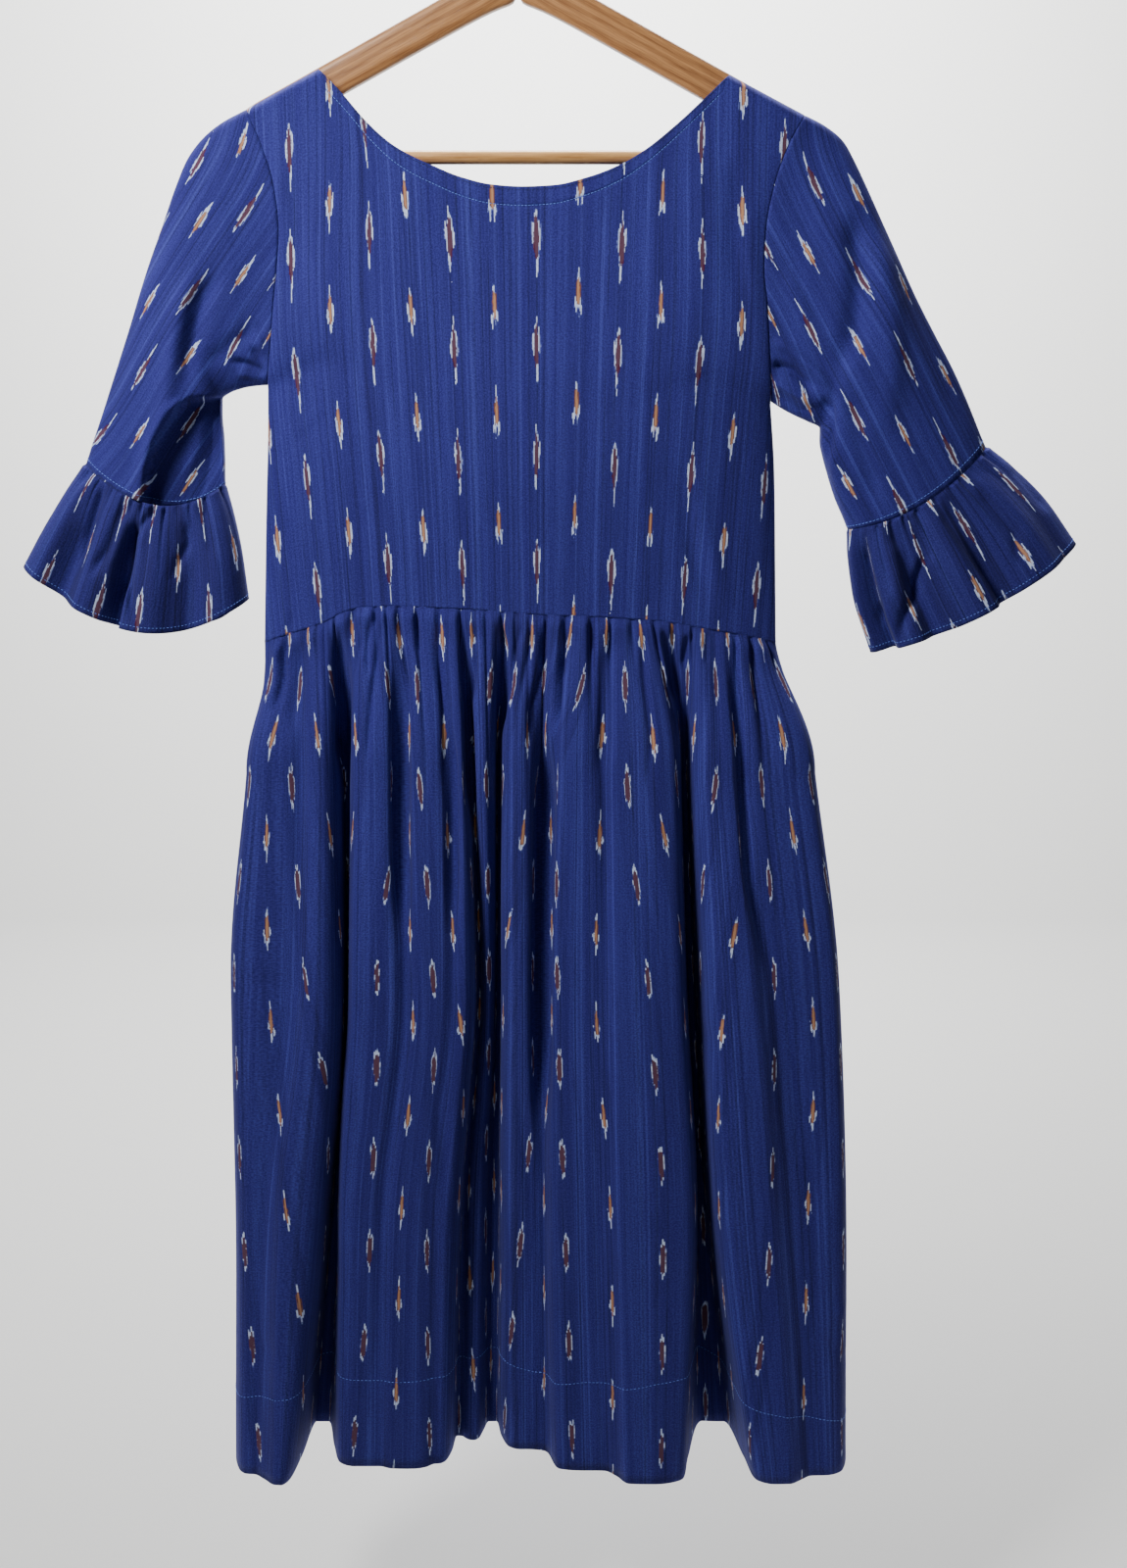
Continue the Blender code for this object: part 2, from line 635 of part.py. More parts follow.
def fold_spots(folds, level):
    """Section across all folds at one level, as (x, stand-off) from left to right."""
    spots = []
    sections = [getattr(fold, level) for fold in folds]
    for index, (fold, (left, right, crown, gully)) in enumerate(zip(folds, sections)):
        first, last = index == 0, index == len(folds) - 1
        before = 0.0 if first else sections[index - 1][3]
        edge = min(LIP_ROUNDING, LIP_SHARE * (right - left))
        if first:
            spots.append((left + SIDE_TUCK, 0.0))
        if first or folds[index - 1].deep:
            spots.append((left, 0.5 * (crown + before)))
        spots.append((left + edge, before + (crown - before) * LIP_HEIGHT))
        spots.append((0.5 * (left + right), crown))
        spots.append((right - edge, gully + (crown - gully) * LIP_HEIGHT))
        if last:
            spots.append((right, 0.5 * crown))
            spots.append((right - SIDE_TUCK, 0.0))
        elif fold.deep:
            next_left = sections[index + 1][0]
            width = next_left - right
            spots.append((right, 0.5 * (crown + gully)))
            spots.append((right + width * GULLY_FLOOR_SHARE, gully))
            spots.append((next_left - width * GULLY_FLOOR_SHARE, gully))
        else:
            spots.append((0.5 * (right + sections[index + 1][0]), gully))
    return spots


def seam_shares(folds):
    """Where each spot of the section belongs on the waist seam, as a share of its width."""
    places = []
    for index, fold in enumerate(folds):
        start, end = fold.seam
        first, last = index == 0, index == len(folds) - 1
        if first:
            places.append(start)
        if first or folds[index - 1].deep:
            places.append(start + FOLD_SIDE_SHARE * (end - start))
        places += [start + share * (end - start) for share in FOLD_SEAM_SHARES]
        if last:
            places += [end - FOLD_SIDE_SHARE * (end - start), end]
        elif fold.deep:
            gap = folds[index + 1].seam[0] - end
            places += [end + share * gap for share in GULLY_SEAM_SHARES]
        else:
            places.append(0.5 * (end + folds[index + 1].seam[0]))
    return [(place - WAIST_LEFT) / (WAIST_RIGHT - WAIST_LEFT) for place in places]


def fold_point(sections, spot, z, back):
    """Point on the folds at a spot number, which may be part way, and a height."""
    levels = [-level.z for level in FOLD_LEVELS]
    count = len(sections[0])
    low = min(int(spot), count - 2)
    values = []
    for part in range(2):
        ends = []
        for index in (low, low + 1):
            ends.append(smooth_between(levels, [section[index][part] for section in sections], -z))
        values.append(ends[0] + (ends[1] - ends[0]) * (spot - low))
    outward = 1.0 if back else -1.0
    crown = max(spot_values[1] for spot_values in sections[-1])
    hollow = max(0.0, (crown - values[1]) / crown) ** 2
    down = min(1.0, max(0.0, (HEM_LIFT_STARTS - z) / (HEM_LIFT_STARTS - HEM_Z)))
    from_side = min(1.0, min(spot, count - 1 - spot) / SIDE_SPOTS)
    lift = HEM_LIFT * hollow * down * from_side
    return Vector((values[0], outward * (SEAM_GAP / 2 + values[1]), z + lift))


def waist_edge(share, back):
    """Point on the bodice's lower edge, whose straight steps the skirt follows."""
    if share < 0.0:
        return waist_edge(-share, not back)
    step = next(i for i, high in enumerate(COLUMN_SHARES[1:]) if share <= high + 1e-9)
    low, high = COLUMN_SHARES[step:step + 2]
    part = (share - low) / (high - low)
    return panel_point(low, 0.0, back).lerp(panel_point(high, 0.0, back), part)


def gather_share(turn):
    """Place of a gather on the seam: they crowd and spread a little."""
    return turn + sum(size * math.sin(waves * math.tau * turn) for waves, size in GATHER_SWAYS)


def make_skirt_panel(name, folds, back, material):
    sections = [fold_spots(folds, level.column) for level in FOLD_LEVELS]
    shares = seam_shares(folds)
    numbers = list(range(len(shares)))
    start, end = shares[0], shares[-1]
    outward = 1.0 if back else -1.0
    rows = []
    for drop, wave in GATHER_ROWS:
        row = []
        count = GATHERS * GATHER_STEPS
        for index in range(count + 1):
            turn = index / count
            share = start + (end - start) * gather_share(turn)
            share = min(max(share, start), end)
            spot = smooth_between(shares, numbers, share)
            seam = waist_edge(share, back)
            seam.z -= SEAM_GAP
            z = seam.z - drop
            full = drop / (seam.z - FOLDS_FULL_AT)
            folded = fold_point(sections, spot, FOLDS_FULL_AT, back)
            point = seam.lerp(folded, math.sin(0.5 * math.pi * full) ** FOLD_OPENING)
            point.z = z
            facing = waist_facing(share, back)
            at_side = index in (0, count)
            if not at_side:
                point += facing * wave * math.cos(math.tau * index / GATHER_STEPS)
            set_facing = None
            if drop == 0.0:
                set_facing = facing
            if at_side:
                set_facing = Vector((-1.0 if index == 0 else 1.0, 0.0, 0.0))
            row.append(Spot(spot, point, set_facing))
        rows.append(row)
    for z in FOLD_ROWS:
        row = []
        for spot in numbers:
            facing = None
            if spot in (0, numbers[-1]):
                facing = Vector((-1.0 if spot == 0 else 1.0, 0.0, 0.0))
            row.append(Spot(float(spot), fold_point(sections, spot, z, back), facing))
        rows.append(row)
    return cloth_wall(name, rows, material, flip=back)


# Hanger


def make_arm(name, side, material):
    """One wooden arm: a flat board with rounded edges and a heel that holds the bar."""
    outline = (
        (SEAM_GAP / 2, WOOD_TOP), (9.0, WOOD_TOP), (16.0, -77.0), (25.0, -88.1), (110.0, -133.0),
        (205.0, -183.1), (215.0, -189.8), (221.0, -198.5), (223.5, -208.0), (221.5, -217.5),
        (214.0, -224.5), (BAR_HALF_LENGTH + SEAM_GAP, -225.5),
        (BAR_HALF_LENGTH + SEAM_GAP, -205.0), (195.0, -206.5), (100.0, -156.2), (SEAM_GAP / 2, -102.0),
    )
    mesh = bmesh.new()
    front = [mesh.verts.new((side * x * MM, -WOOD_THICK / 2 * MM, z * MM)) for x, z in outline]
    face = mesh.faces.new(front if side < 0 else list(reversed(front)))
    pulled = bmesh.ops.extrude_face_region(mesh, geom=[face])
    moved = [part for part in pulled["geom"] if isinstance(part, bmesh.types.BMVert)]
    bmesh.ops.translate(mesh, verts=moved, vec=(0.0, WOOD_THICK * MM, 0.0))
    bmesh.ops.recalc_face_normals(mesh, faces=mesh.faces[:])
    long_edges = []
    for edge in mesh.edges:
        first, second = edge.verts
        lies_flat = abs(first.co.y - second.co.y) < MM / 10
        at_centre = abs(first.co.x) < MM and abs(second.co.x) < MM
        at_heel = min(abs(first.co.x), abs(second.co.x)) > (BAR_HALF_LENGTH - 1) * MM
        if lies_flat and not at_centre and not at_heel:
            long_edges.append(edge)
    bmesh.ops.bevel(mesh, geom=long_edges, offset=WOOD_ROUNDING * MM, segments=2, profile=0.5,
                    affect="EDGES", clamp_overlap=True)
    bmesh.ops.triangulate(mesh, faces=mesh.faces[:])
    data = bpy.data.meshes.new(name)
    mesh.to_mesh(data)
    mesh.free()
    data.set_sharp_from_angle(angle=math.radians(40))
    return place_object(name, data, material)


def make_bar(name, material):
    bpy.ops.mesh.primitive_cylinder_add(vertices=24, radius=BAR_RADIUS * MM,
                                        depth=2 * BAR_HALF_LENGTH * MM,
                                        location=(0.0, 0.0, BAR_Z * MM),
                                        rotation=(0.0, math.pi / 2, 0.0))
    bar = bpy.context.object
    bar.name = name
    bar.data.materials.append(material)
    bar.data.shade_smooth()
    bar.data.set_sharp_from_angle(angle=math.radians(40))
    return bar


def hook_route():
    """Centre line of the wire: up from the wood, out to one side, round and over."""
    radius = HOOK_INNER_RADIUS + HOOK_ROD / 2
    centre_z = -HOOK_INNER_RADIUS
    leave_x = radius * math.cos(HOOK_LEAVES_AT)
    leave_z = centre_z - radius * math.sin(HOOK_LEAVES_AT)
    swing = leave_x / (1.0 - math.cos(HOOK_LEAVES_AT))
    route = [(0.0, WOOD_TOP + SEAM_GAP)]
    bends = 6
    for step in range(bends + 1):
        angle = HOOK_LEAVES_AT * step / bends
        x = swing * (1.0 - math.cos(angle))
        z = leave_z - swing * (math.sin(HOOK_LEAVES_AT) - math.sin(angle))
        route.append((x, z))
    turns = 22
    for step in range(1, turns + 1):
        angle = -HOOK_LEAVES_AT + (HOOK_TIP_AT + HOOK_LEAVES_AT) * step / turns
        route.append((radius * math.cos(angle), centre_z + radius * math.sin(angle)))
    return route


def make_hook(name, material):
    curve = bpy.data.curves.new(name, "CURVE")
    curve.dimensions = "3D"
    curve.bevel_depth = HOOK_ROD / 2 * MM
    curve.bevel_resolution = 2
    curve.use_fill_caps = True
    route = hook_route()
    spline = curve.splines.new("POLY")
    spline.points.add(len(route) - 1)
    for point, (x, z) in zip(spline.points, route):
        point.co = (x * MM, 0.0, z * MM, 1.0)
    return place_object(name, curve, material)


# Build

BLUE = (0.019, 0.042, 0.30)
WOOD = (0.45, 0.20, 0.066)
PALE_WOOD = (0.58, 0.33, 0.14)
STEEL = (0.62, 0.62, 0.60)

make_bodice_panel("bodice_front", False, cloth_material("bodice_front_cotton", BLUE, 0.85))
make_bodice_panel("bodice_back", True, cloth_material("bodice_back_cotton", BLUE, 0.85))
make_sleeve("sleeve_left", -1.0, LEFT_SLEEVE, cloth_material("sleeve_left_cotton", BLUE, 0.85))
make_sleeve("sleeve_right", 1.0, RIGHT_SLEEVE, cloth_material("sleeve_right_cotton", BLUE, 0.85))
make_ruffle("ruffle_left", -1.0, LEFT_SLEEVE, LEFT_RUFFLE, cloth_material("ruffle_left_cotton", BLUE, 0.85))
make_ruffle("ruffle_right", 1.0, RIGHT_SLEEVE, RIGHT_RUFFLE, cloth_material("ruffle_right_cotton", BLUE, 0.85))
make_skirt_panel("skirt_front", FRONT_FOLDS, False, cloth_material("skirt_front_cotton", BLUE, 0.85))
make_skirt_panel("skirt_back", BACK_FOLDS, True, cloth_material("skirt_back_cotton", BLUE, 0.85))
make_arm("hanger_arm_left", -1.0, cloth_material("arm_left_wood", WOOD, 0.4))
make_arm("hanger_arm_right", 1.0, cloth_material("arm_right_wood", WOOD, 0.4))
make_bar("hanger_bar", cloth_material("bar_wood", PALE_WOOD, 0.45))
make_hook("hanger_hook", cloth_material("hook_steel", STEEL, 0.3, 1.0))
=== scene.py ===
# %% [markdown]
# # An ikat midi dress on a wooden hanger
#
# This notebook dresses a plain CAD model. The CAD says where each sewn piece is, and every
# piece made here takes the place of one of its solids. The CAD cloth is a coarse wall, so
# each panel is drawn again from the same outlines, much finer, with the folds, gathers,
# seams and stitches that sewing and hanging give it.
#
# Lengths are in millimetres in the tables, and in metres in Blender.

# %% Load the fixed frame
import math

import bmesh
import bpy
import numpy as np
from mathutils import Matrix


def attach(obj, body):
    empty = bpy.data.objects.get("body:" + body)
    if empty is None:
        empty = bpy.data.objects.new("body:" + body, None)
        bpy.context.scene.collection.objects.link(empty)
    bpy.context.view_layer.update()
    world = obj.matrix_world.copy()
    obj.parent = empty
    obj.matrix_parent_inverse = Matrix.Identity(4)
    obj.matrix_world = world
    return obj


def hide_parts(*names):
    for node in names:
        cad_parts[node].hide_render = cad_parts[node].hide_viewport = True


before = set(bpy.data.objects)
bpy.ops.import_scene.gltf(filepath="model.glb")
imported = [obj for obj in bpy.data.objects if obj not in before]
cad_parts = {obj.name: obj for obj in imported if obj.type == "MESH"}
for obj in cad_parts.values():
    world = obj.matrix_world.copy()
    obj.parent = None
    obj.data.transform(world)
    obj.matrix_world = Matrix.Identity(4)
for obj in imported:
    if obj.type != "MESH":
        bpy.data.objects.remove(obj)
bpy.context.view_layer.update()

MM = 0.001

# %% [markdown]
# ## Curves
#
# A dress pattern is a set of short outlines, and a hung dress is a few sections. Both are
# kept as short tables and read through a smooth curve that never overshoots its points, so
# a table of eight numbers can drive hundreds of vertices.

# %% Smooth curves through short tables


def curve(stops, values, at):
    """Smooth curve through a table, read at many places at once."""
    stops, values, at = (np.asarray(part, float) for part in (stops, values, at))
    if values.ndim > 1:
        return np.stack([curve(stops, column, at) for column in values.T], axis=-1)
    width = np.diff(stops)
    slope = np.diff(values) / width
    before, after = slope[:-1], slope[1:]
    total = np.where(before * after > 0, before + after, 1.0)
    middle = np.where(before * after > 0, 2.0 * before * after / total, 0.0)
    tangent = np.concatenate([slope[:1], middle, slope[-1:]])
    at = np.clip(at, stops[0], stops[-1])
    step = np.clip(np.searchsorted(stops, at, side="right") - 1, 0, len(stops) - 2)
    t = (at - stops[step]) / width[step]
    return (values[step] * (2 * t ** 3 - 3 * t ** 2 + 1)
            + tangent[step] * width[step] * (t ** 3 - 2 * t ** 2 + t)
            + values[step + 1] * (3 * t ** 2 - 2 * t ** 3)
            + tangent[step + 1] * width[step] * (t ** 3 - t ** 2))


def lengths_along(points):
    """Running length along a row of points."""
    points = np.asarray(points, float)
    steps = np.linalg.norm(np.diff(points, axis=0), axis=-1)
    return np.concatenate([[0.0], np.cumsum(steps)])


def lengths_down(points):
    """Running length down each column of a grid."""
    return np.stack([lengths_along(points[:, i]) for i in range(points.shape[1])], axis=1)


def outline(points, share):
    """(x, z) at a share of the way along an outline."""
    lengths = lengths_along(points)
    return curve(lengths, points, np.asarray(share) * lengths[-1])


def ease(value, low=0.0, high=1.0):
    """0 below low, 1 above high, and soft between."""
    t = np.clip((value - low) / (high - low), 0.0, 1.0)
    return t * t * (3.0 - 2.0 * t)


def round_rise(share):
    """Quarter circle from 0 at share 0 to 1 at share 1 and beyond."""
    return np.sqrt(np.maximum(0.0, 1.0 - (1.0 - np.minimum(1.0, share)) ** 2))


def scatter(index, seed=0.0):
    """Fixed uneven numbers from 0 to 1, one for each index."""
    value = np.sin(np.asarray(index, float) * 12.9898 + seed * 78.233) * 43758.5453
    return value - np.floor(value)


print("curve check:", round(float(curve([0, 1, 2], [0, 1, 4], [1.5])[0]), 3))

# %% [markdown]
# ## Cloth as a grid
#
# Woven cloth is a grid already, so each panel is one: rows run across it and columns run
# down its yarns. The grid also carries the cloth's own coordinates, in metres of flat
# cloth, and the weave and the ikat pattern are drawn in those. A thin Solidify gives the
# sheet its two faces and its cut edge.
#
# A cloth simulation could drape the dress, but it would fall into folds of its own, not into
# this dress's. So creases are pressed into the grid one by one. Each is a line on the front view,
# a width and a height, and it raises or lowers the cloth along the way the cloth faces.

# %% Grids, creases and sheets
CLOTH_THICK = 0.45
SEAM_GAP = 0.3


def facing(points, closed=False):
    """Unit vectors out of a grid whose rows go down and whose columns go across."""
    if closed:
        across = np.roll(points, -1, axis=1) - np.roll(points, 1, axis=1)
    else:
        across = np.gradient(points, axis=1)
    out = np.cross(np.gradient(points, axis=0), across)
    return out / np.maximum(np.linalg.norm(out, axis=-1, keepdims=True), 1e-9)


def crease(points, lines):
    """Height that each crease line gives each point, as seen from the front."""
    flat = points[..., [0, 2]]
    height = np.zeros(points.shape[:-1])
    for route, width, depth in lines:
        route = np.asarray(route, float)
        near = np.full(height.shape, 1e9)
        place = np.zeros(height.shape)
        lengths = lengths_along(route)
        for start, end, before in zip(route, route[1:], lengths):
            run = end - start
            part = np.clip(((flat - start) @ run) / (run @ run), 0.0, 1.0)
            away = np.linalg.norm(flat - start - part[..., None] * run, axis=-1)
            closer = away < near
            near = np.where(closer, away, near)
            place = np.where(closer, before + part * np.linalg.norm(run), place)
        share = place / lengths[-1]
        fade = ease(share, 0.0, 0.22) * ease(1.0 - share, 0.0, 0.30)
        height += depth * np.exp(-(near / width) ** 2) * fade
    return height


def cloth_sheet(name, points, cloth, material, flip=False, closed=False, yarns=None, spread=1.0):
    """A sheet of cloth from a grid of points and its cloth coordinates, both in mm.

    `yarns` numbers the warp where it differs from the motif columns, in mm too, and `spread`
    says how far the columns are drawn apart.
    """
    rows, columns = points.shape[:2]
    corner = np.arange(rows * columns).reshape(rows, columns)
    if closed:
        corner = np.hstack([corner, corner[:, :1]])
    place = np.arange(cloth.shape[0] * cloth.shape[1]).reshape(cloth.shape[:2])
    quads, spots = ([grid[:-1, :-1], grid[1:, :-1], grid[1:, 1:], grid[:-1, 1:]]
                    for grid in (corner, place))
    if flip:
        quads, spots = quads[::-1], spots[::-1]
    quads, spots = (np.stack(part, axis=-1).reshape(-1, 4) for part in (quads, spots))
    mesh = bpy.data.meshes.new(name)
    mesh.from_pydata((points.reshape(-1, 3) * MM).tolist(), [], quads.tolist())
    uv_map = mesh.uv_layers.new(name="cloth")
    uv_map.data.foreach_set("uv", (cloth.reshape(-1, 2)[spots.ravel()] * MM).ravel())
    warp = np.stack([(cloth[..., 0] if yarns is None else yarns) * MM,
                     np.broadcast_to(spread, cloth.shape[:2])], axis=-1)
    warp_map = mesh.uv_layers.new(name="warp")
    warp_map.data.foreach_set("uv", warp.reshape(-1, 2)[spots.ravel()].ravel())
    mesh.shade_smooth()
    mesh.materials.append(material)
    piece = bpy.data.objects.new(name, mesh)
    bpy.context.scene.collection.objects.link(piece)
    shell = piece.modifiers.new("cloth thickness", "SOLIDIFY")
    shell.thickness = CLOTH_THICK * MM
    shell.offset = -1.0
    return piece


def sheet_area(piece):
    return sum(face.area for face in piece.data.polygons)

# %% [markdown]
# ## Materials
#
# A material here is arithmetic on the cloth's coordinates. This small class wraps a node's
# output, so that `a * b + 1` builds the Math nodes and the recipe can be read as a formula.

# %% A small language for shader maths


class Value:
    """A number that a shader works out at each point."""

    def __init__(self, tree, socket):
        self.tree = tree
        self.socket = socket

    def node(self, kind, settings=None, links=None, output=0):
        """Any other node: its kind, its settings and its inputs by name or number."""
        made = self.tree.nodes.new(kind)
        for setting, value in (settings or {}).items():
            setattr(made, setting, value)
        for name, value in (links or {}).items():
            if isinstance(value, Value):
                self.tree.links.new(value.socket, made.inputs[name])
            else:
                made.inputs[name].default_value = value
        return Value(self.tree, made.outputs[output])

    def maths(self, operation, *others):
        parts = {index: part for index, part in enumerate((self, *others))}
        return self.node("ShaderNodeMath", {"operation": operation}, parts)

    def flipped(self, operation, first):
        return self.node("ShaderNodeMath", {"operation": operation}, {0: first, 1: self})

    def __add__(self, other):
        return self.maths("ADD", other)

    __radd__ = __add__

    def __sub__(self, other):
        return self.maths("SUBTRACT", other)

    def __rsub__(self, other):
        return self.flipped("SUBTRACT", other)

    def __mul__(self, other):
        return self.maths("MULTIPLY", other)

    __rmul__ = __mul__

    def __truediv__(self, other):
        return self.maths("DIVIDE", other)

    def floor(self):
        return self.maths("FLOOR")

    def size(self):
        return self.maths("ABSOLUTE")

    def between(self, low, high):
        """0 at low, 1 at high, soft between and held beyond."""
        return self.node("ShaderNodeMapRange", {"interpolation_type": "SMOOTHSTEP"},
                         {"Value": self, "From Min": low, "From Max": high})

    def mixed(self, first, second):
        """Colour between two, by this share."""
        mix = self.tree.nodes.new("ShaderNodeMix")
        mix.data_type = "RGBA"
        self.tree.links.new(self.socket, mix.inputs[0])
        for index, colour in ((6, first), (7, second)):
            if isinstance(colour, Value):
                self.tree.links.new(colour.socket, mix.inputs[index])
            else:
                mix.inputs[index].default_value = (*colour, 1.0)
        return Value(self.tree, mix.outputs[2])

# %% Noise and new materials


def noise(across, down, detail=2.0, depth=0.0):
    """Soft noise over two numbers. A point moves 1 to pass from one blotch to the next."""
    where = across.node("ShaderNodeCombineXYZ", None, {0: across, 1: down, 2: depth})
    return across.node("ShaderNodeTexNoise", None,
                       {"Vector": where, "Scale": 1.0, "Detail": detail, "Roughness": 0.6})


def chance(across, down=0.0, depth=0.0):
    """One uneven number from 0 to 1 for each pair of whole numbers."""
    where = across.node("ShaderNodeCombineXYZ", None, {0: across, 1: down, 2: depth})
    return across.node("ShaderNodeTexWhiteNoise", None, {"Vector": where})


def new_material(name, roughness, metallic=0.0):
    """A material, its shader and a first value to build from."""
    material = bpy.data.materials.new(name)
    material.use_nodes = True
    tree = material.node_tree
    shader = tree.nodes["Principled BSDF"]
    shader.inputs["Roughness"].default_value = roughness
    shader.inputs["Metallic"].default_value = metallic
    return material, tree, shader


def finish_surface(tree, shader, colour, height, reach, strength=1.0):
    """Colour and bump into the shader."""
    bump = height.node("ShaderNodeBump", None,
                       {"Height": height, "Distance": reach, "Strength": strength})
    tree.links.new(colour.socket, shader.inputs["Base Color"])
    tree.links.new(bump.socket, shader.inputs["Normal"])


def place_on_object(tree):
    """x, y and z of the point being shaded, in mm."""
    where = tree.nodes.new("ShaderNodeTexCoord")
    split = tree.nodes.new("ShaderNodeSeparateXYZ")
    tree.links.new(where.outputs["Object"], split.inputs[0])
    return [Value(tree, output) / MM for output in split.outputs]


def linear(red, green, blue):
    """Screen colour from 0 to 255 as the linear colour that a shader wants."""
    return tuple((c / 255.0 / 12.92) if c < 10.3 else ((c / 255.0 + 0.055) / 1.055) ** 2.4
                 for c in (red, green, blue))


print("mid grey for a shader:", round(linear(128, 128, 128)[0], 3))

# %% [markdown]
# ## The ikat cloth
#
# Ikat is dyed before it is woven. Bundles of warp yarns are tied off, dipped, untied and
# dipped again, so each motif is a patch that was kept white, with a core of maroon or gold.
# On the loom the yarns slip a little, and that gives every motif its feathered ends.
#
# The recipe follows the craft. The cloth is split into yarns, each yarn is shifted along
# by its own chance amount, and a chart says how far the white and the core reach to each
# side of a motif's middle line at each height. Maroon and gold columns take turns and are
# half a repeat apart. The charts below were drawn in millimetres.

# %% Charts and colours of the ikat
COLUMN_PITCH = 31.0
REPEAT = 82.5
YARN = 0.75
PICK = 0.8
YARN_SLIP = 8.5
ROW_JITTER = 1.5
CHART_REACH = 27.0
CHART_WIDTH = 5.0

# Height on the motif, white to the left, white to the right, core half width.
MAROON_CHART = (
    (-27.0, 0.0, 0.0, 0.0), (-24.0, 0.0, 0.8, 0.0), (-18.0, 0.0, 1.4, 0.0), (-13.0, 0.2, 1.6, 0.0),
    (-10.5, 0.4, 1.8, 0.5), (-7.0, 0.7, 1.8, 1.1), (-3.0, 1.3, 2.1, 1.4), (-1.0, 2.6, 3.0, 1.45),
    (4.0, 3.6, 3.7, 1.45), (10.0, 3.5, 3.6, 1.3), (14.0, 2.7, 2.7, 1.0), (17.0, 1.5, 1.5, 0.8),
    (19.5, 1.0, 1.0, 0.3), (24.0, 0.5, 0.8, 0.0), (27.0, 0.0, 0.0, 0.0),
)
GOLD_CHART = (
    (-17.0, 0.0, 0.0, 0.0), (-14.0, 2.1, 1.7, 0.0), (-10.0, 3.0, 2.8, 0.0), (-7.5, 3.0, 2.8, 0.4),
    (-4.5, 2.1, 2.3, 1.2), (-1.0, 0.9, 1.2, 1.3), (6.0, 0.8, 1.1, 1.3), (10.0, 1.0, 1.1, 0.8),
    (12.0, 1.1, 0.9, 0.1), (16.0, 0.8, 0.6, 0.0), (20.0, 0.0, 0.0, 0.0),
)
BARBED_GOLD_CHART = (
    (-19.5, 0.0, 0.0, 0.0), (-16.0, 0.7, 0.9, 0.0), (-11.0, 1.2, 1.4, 0.0), (-8.5, 1.8, 1.7, 0.4),
    (-7.0, 2.9, 2.7, 0.9), (-3.0, 3.5, 3.4, 1.15), (2.0, 3.2, 3.4, 1.25), (5.0, 2.0, 2.6, 1.3),
    (7.0, 1.0, 1.3, 1.25), (10.0, 0.9, 1.0, 1.0), (12.0, 0.9, 0.8, 0.2), (16.0, 0.7, 0.6, 0.0),
    (19.5, 0.0, 0.0, 0.0),
)
SKIRT_MAROON_CHART = (
    (-19.0, 0.0, 0.0, 0.0), (-16.0, 0.5, 0.8, 0.0), (-12.5, 1.1, 1.5, 0.2), (-10.0, 1.6, 1.9, 1.1),
    (-2.0, 2.4, 2.6, 1.5), (6.0, 2.7, 2.7, 1.5), (11.0, 2.1, 2.2, 1.0), (13.5, 1.4, 1.5, 0.1),
    (16.5, 0.8, 0.6, 0.0), (19.0, 0.0, 0.0, 0.0),
)
SKIRT_GOLD_CHART = (
    (-20.0, 0.0, 0.0, 0.0), (-16.0, 0.5, 0.8, 0.0), (-11.0, 0.9, 1.1, 0.0), (-9.0, 1.4, 1.6, 0.6),
    (-7.5, 2.7, 2.5, 1.0), (-4.0, 3.4, 3.3, 1.25), (-1.5, 2.5, 2.9, 1.3), (0.5, 1.3, 1.5, 1.3),
    (6.0, 1.0, 1.2, 1.2), (10.0, 1.0, 1.0, 0.8), (12.0, 1.0, 0.9, 0.1), (16.0, 0.6, 0.7, 0.0),
    (20.0, 0.0, 0.0, 0.0),
)
NAVY = linear(15, 16, 64)
BLUE = linear(35, 31, 112)
BRIGHT_BLUE = linear(70, 76, 166)
PALE_BLUE = linear(122, 142, 222)
MAROON = linear(78, 16, 44)
GOLD = linear(182, 126, 82)
BROWN = linear(112, 68, 54)
UNDYED = linear(206, 220, 252)
print("motifs, mm long:", MAROON_CHART[-1][0] - MAROON_CHART[0][0], GOLD_CHART[-1][0] - GOLD_CHART[0][0])

# %% Reading a chart in the shader


def read_chart(height, chart):
    """Left reach, right reach and core of a motif at a height, from its chart."""
    ramp = height.tree.nodes.new("ShaderNodeValToRGB")
    ramp.color_ramp.interpolation = "LINEAR"
    while len(ramp.color_ramp.elements) < len(chart):
        ramp.color_ramp.elements.new(0.5)
    for element, (place, *reaches) in zip(ramp.color_ramp.elements, chart):
        element.position = (place + CHART_REACH) / (2.0 * CHART_REACH)
        element.color = (*(reach / CHART_WIDTH for reach in reaches), 1.0)
    height.tree.links.new((height / (2.0 * CHART_REACH) + 0.5).socket, ramp.inputs[0])
    split = height.tree.nodes.new("ShaderNodeSeparateColor")
    height.tree.links.new(ramp.outputs[0], split.inputs[0])
    return [Value(height.tree, output) * CHART_WIDTH for output in split.outputs]


def chosen(height, charts, is_gold, is_barbed):
    """The chart that a column follows, at a height."""
    maroon, gold, barbed = (read_chart(height, chart) for chart in charts)
    return [m + ((g + (b - g) * is_barbed) - m) * is_gold for m, g, b in zip(maroon, gold, barbed)]

# %% Yarns, columns and repeats


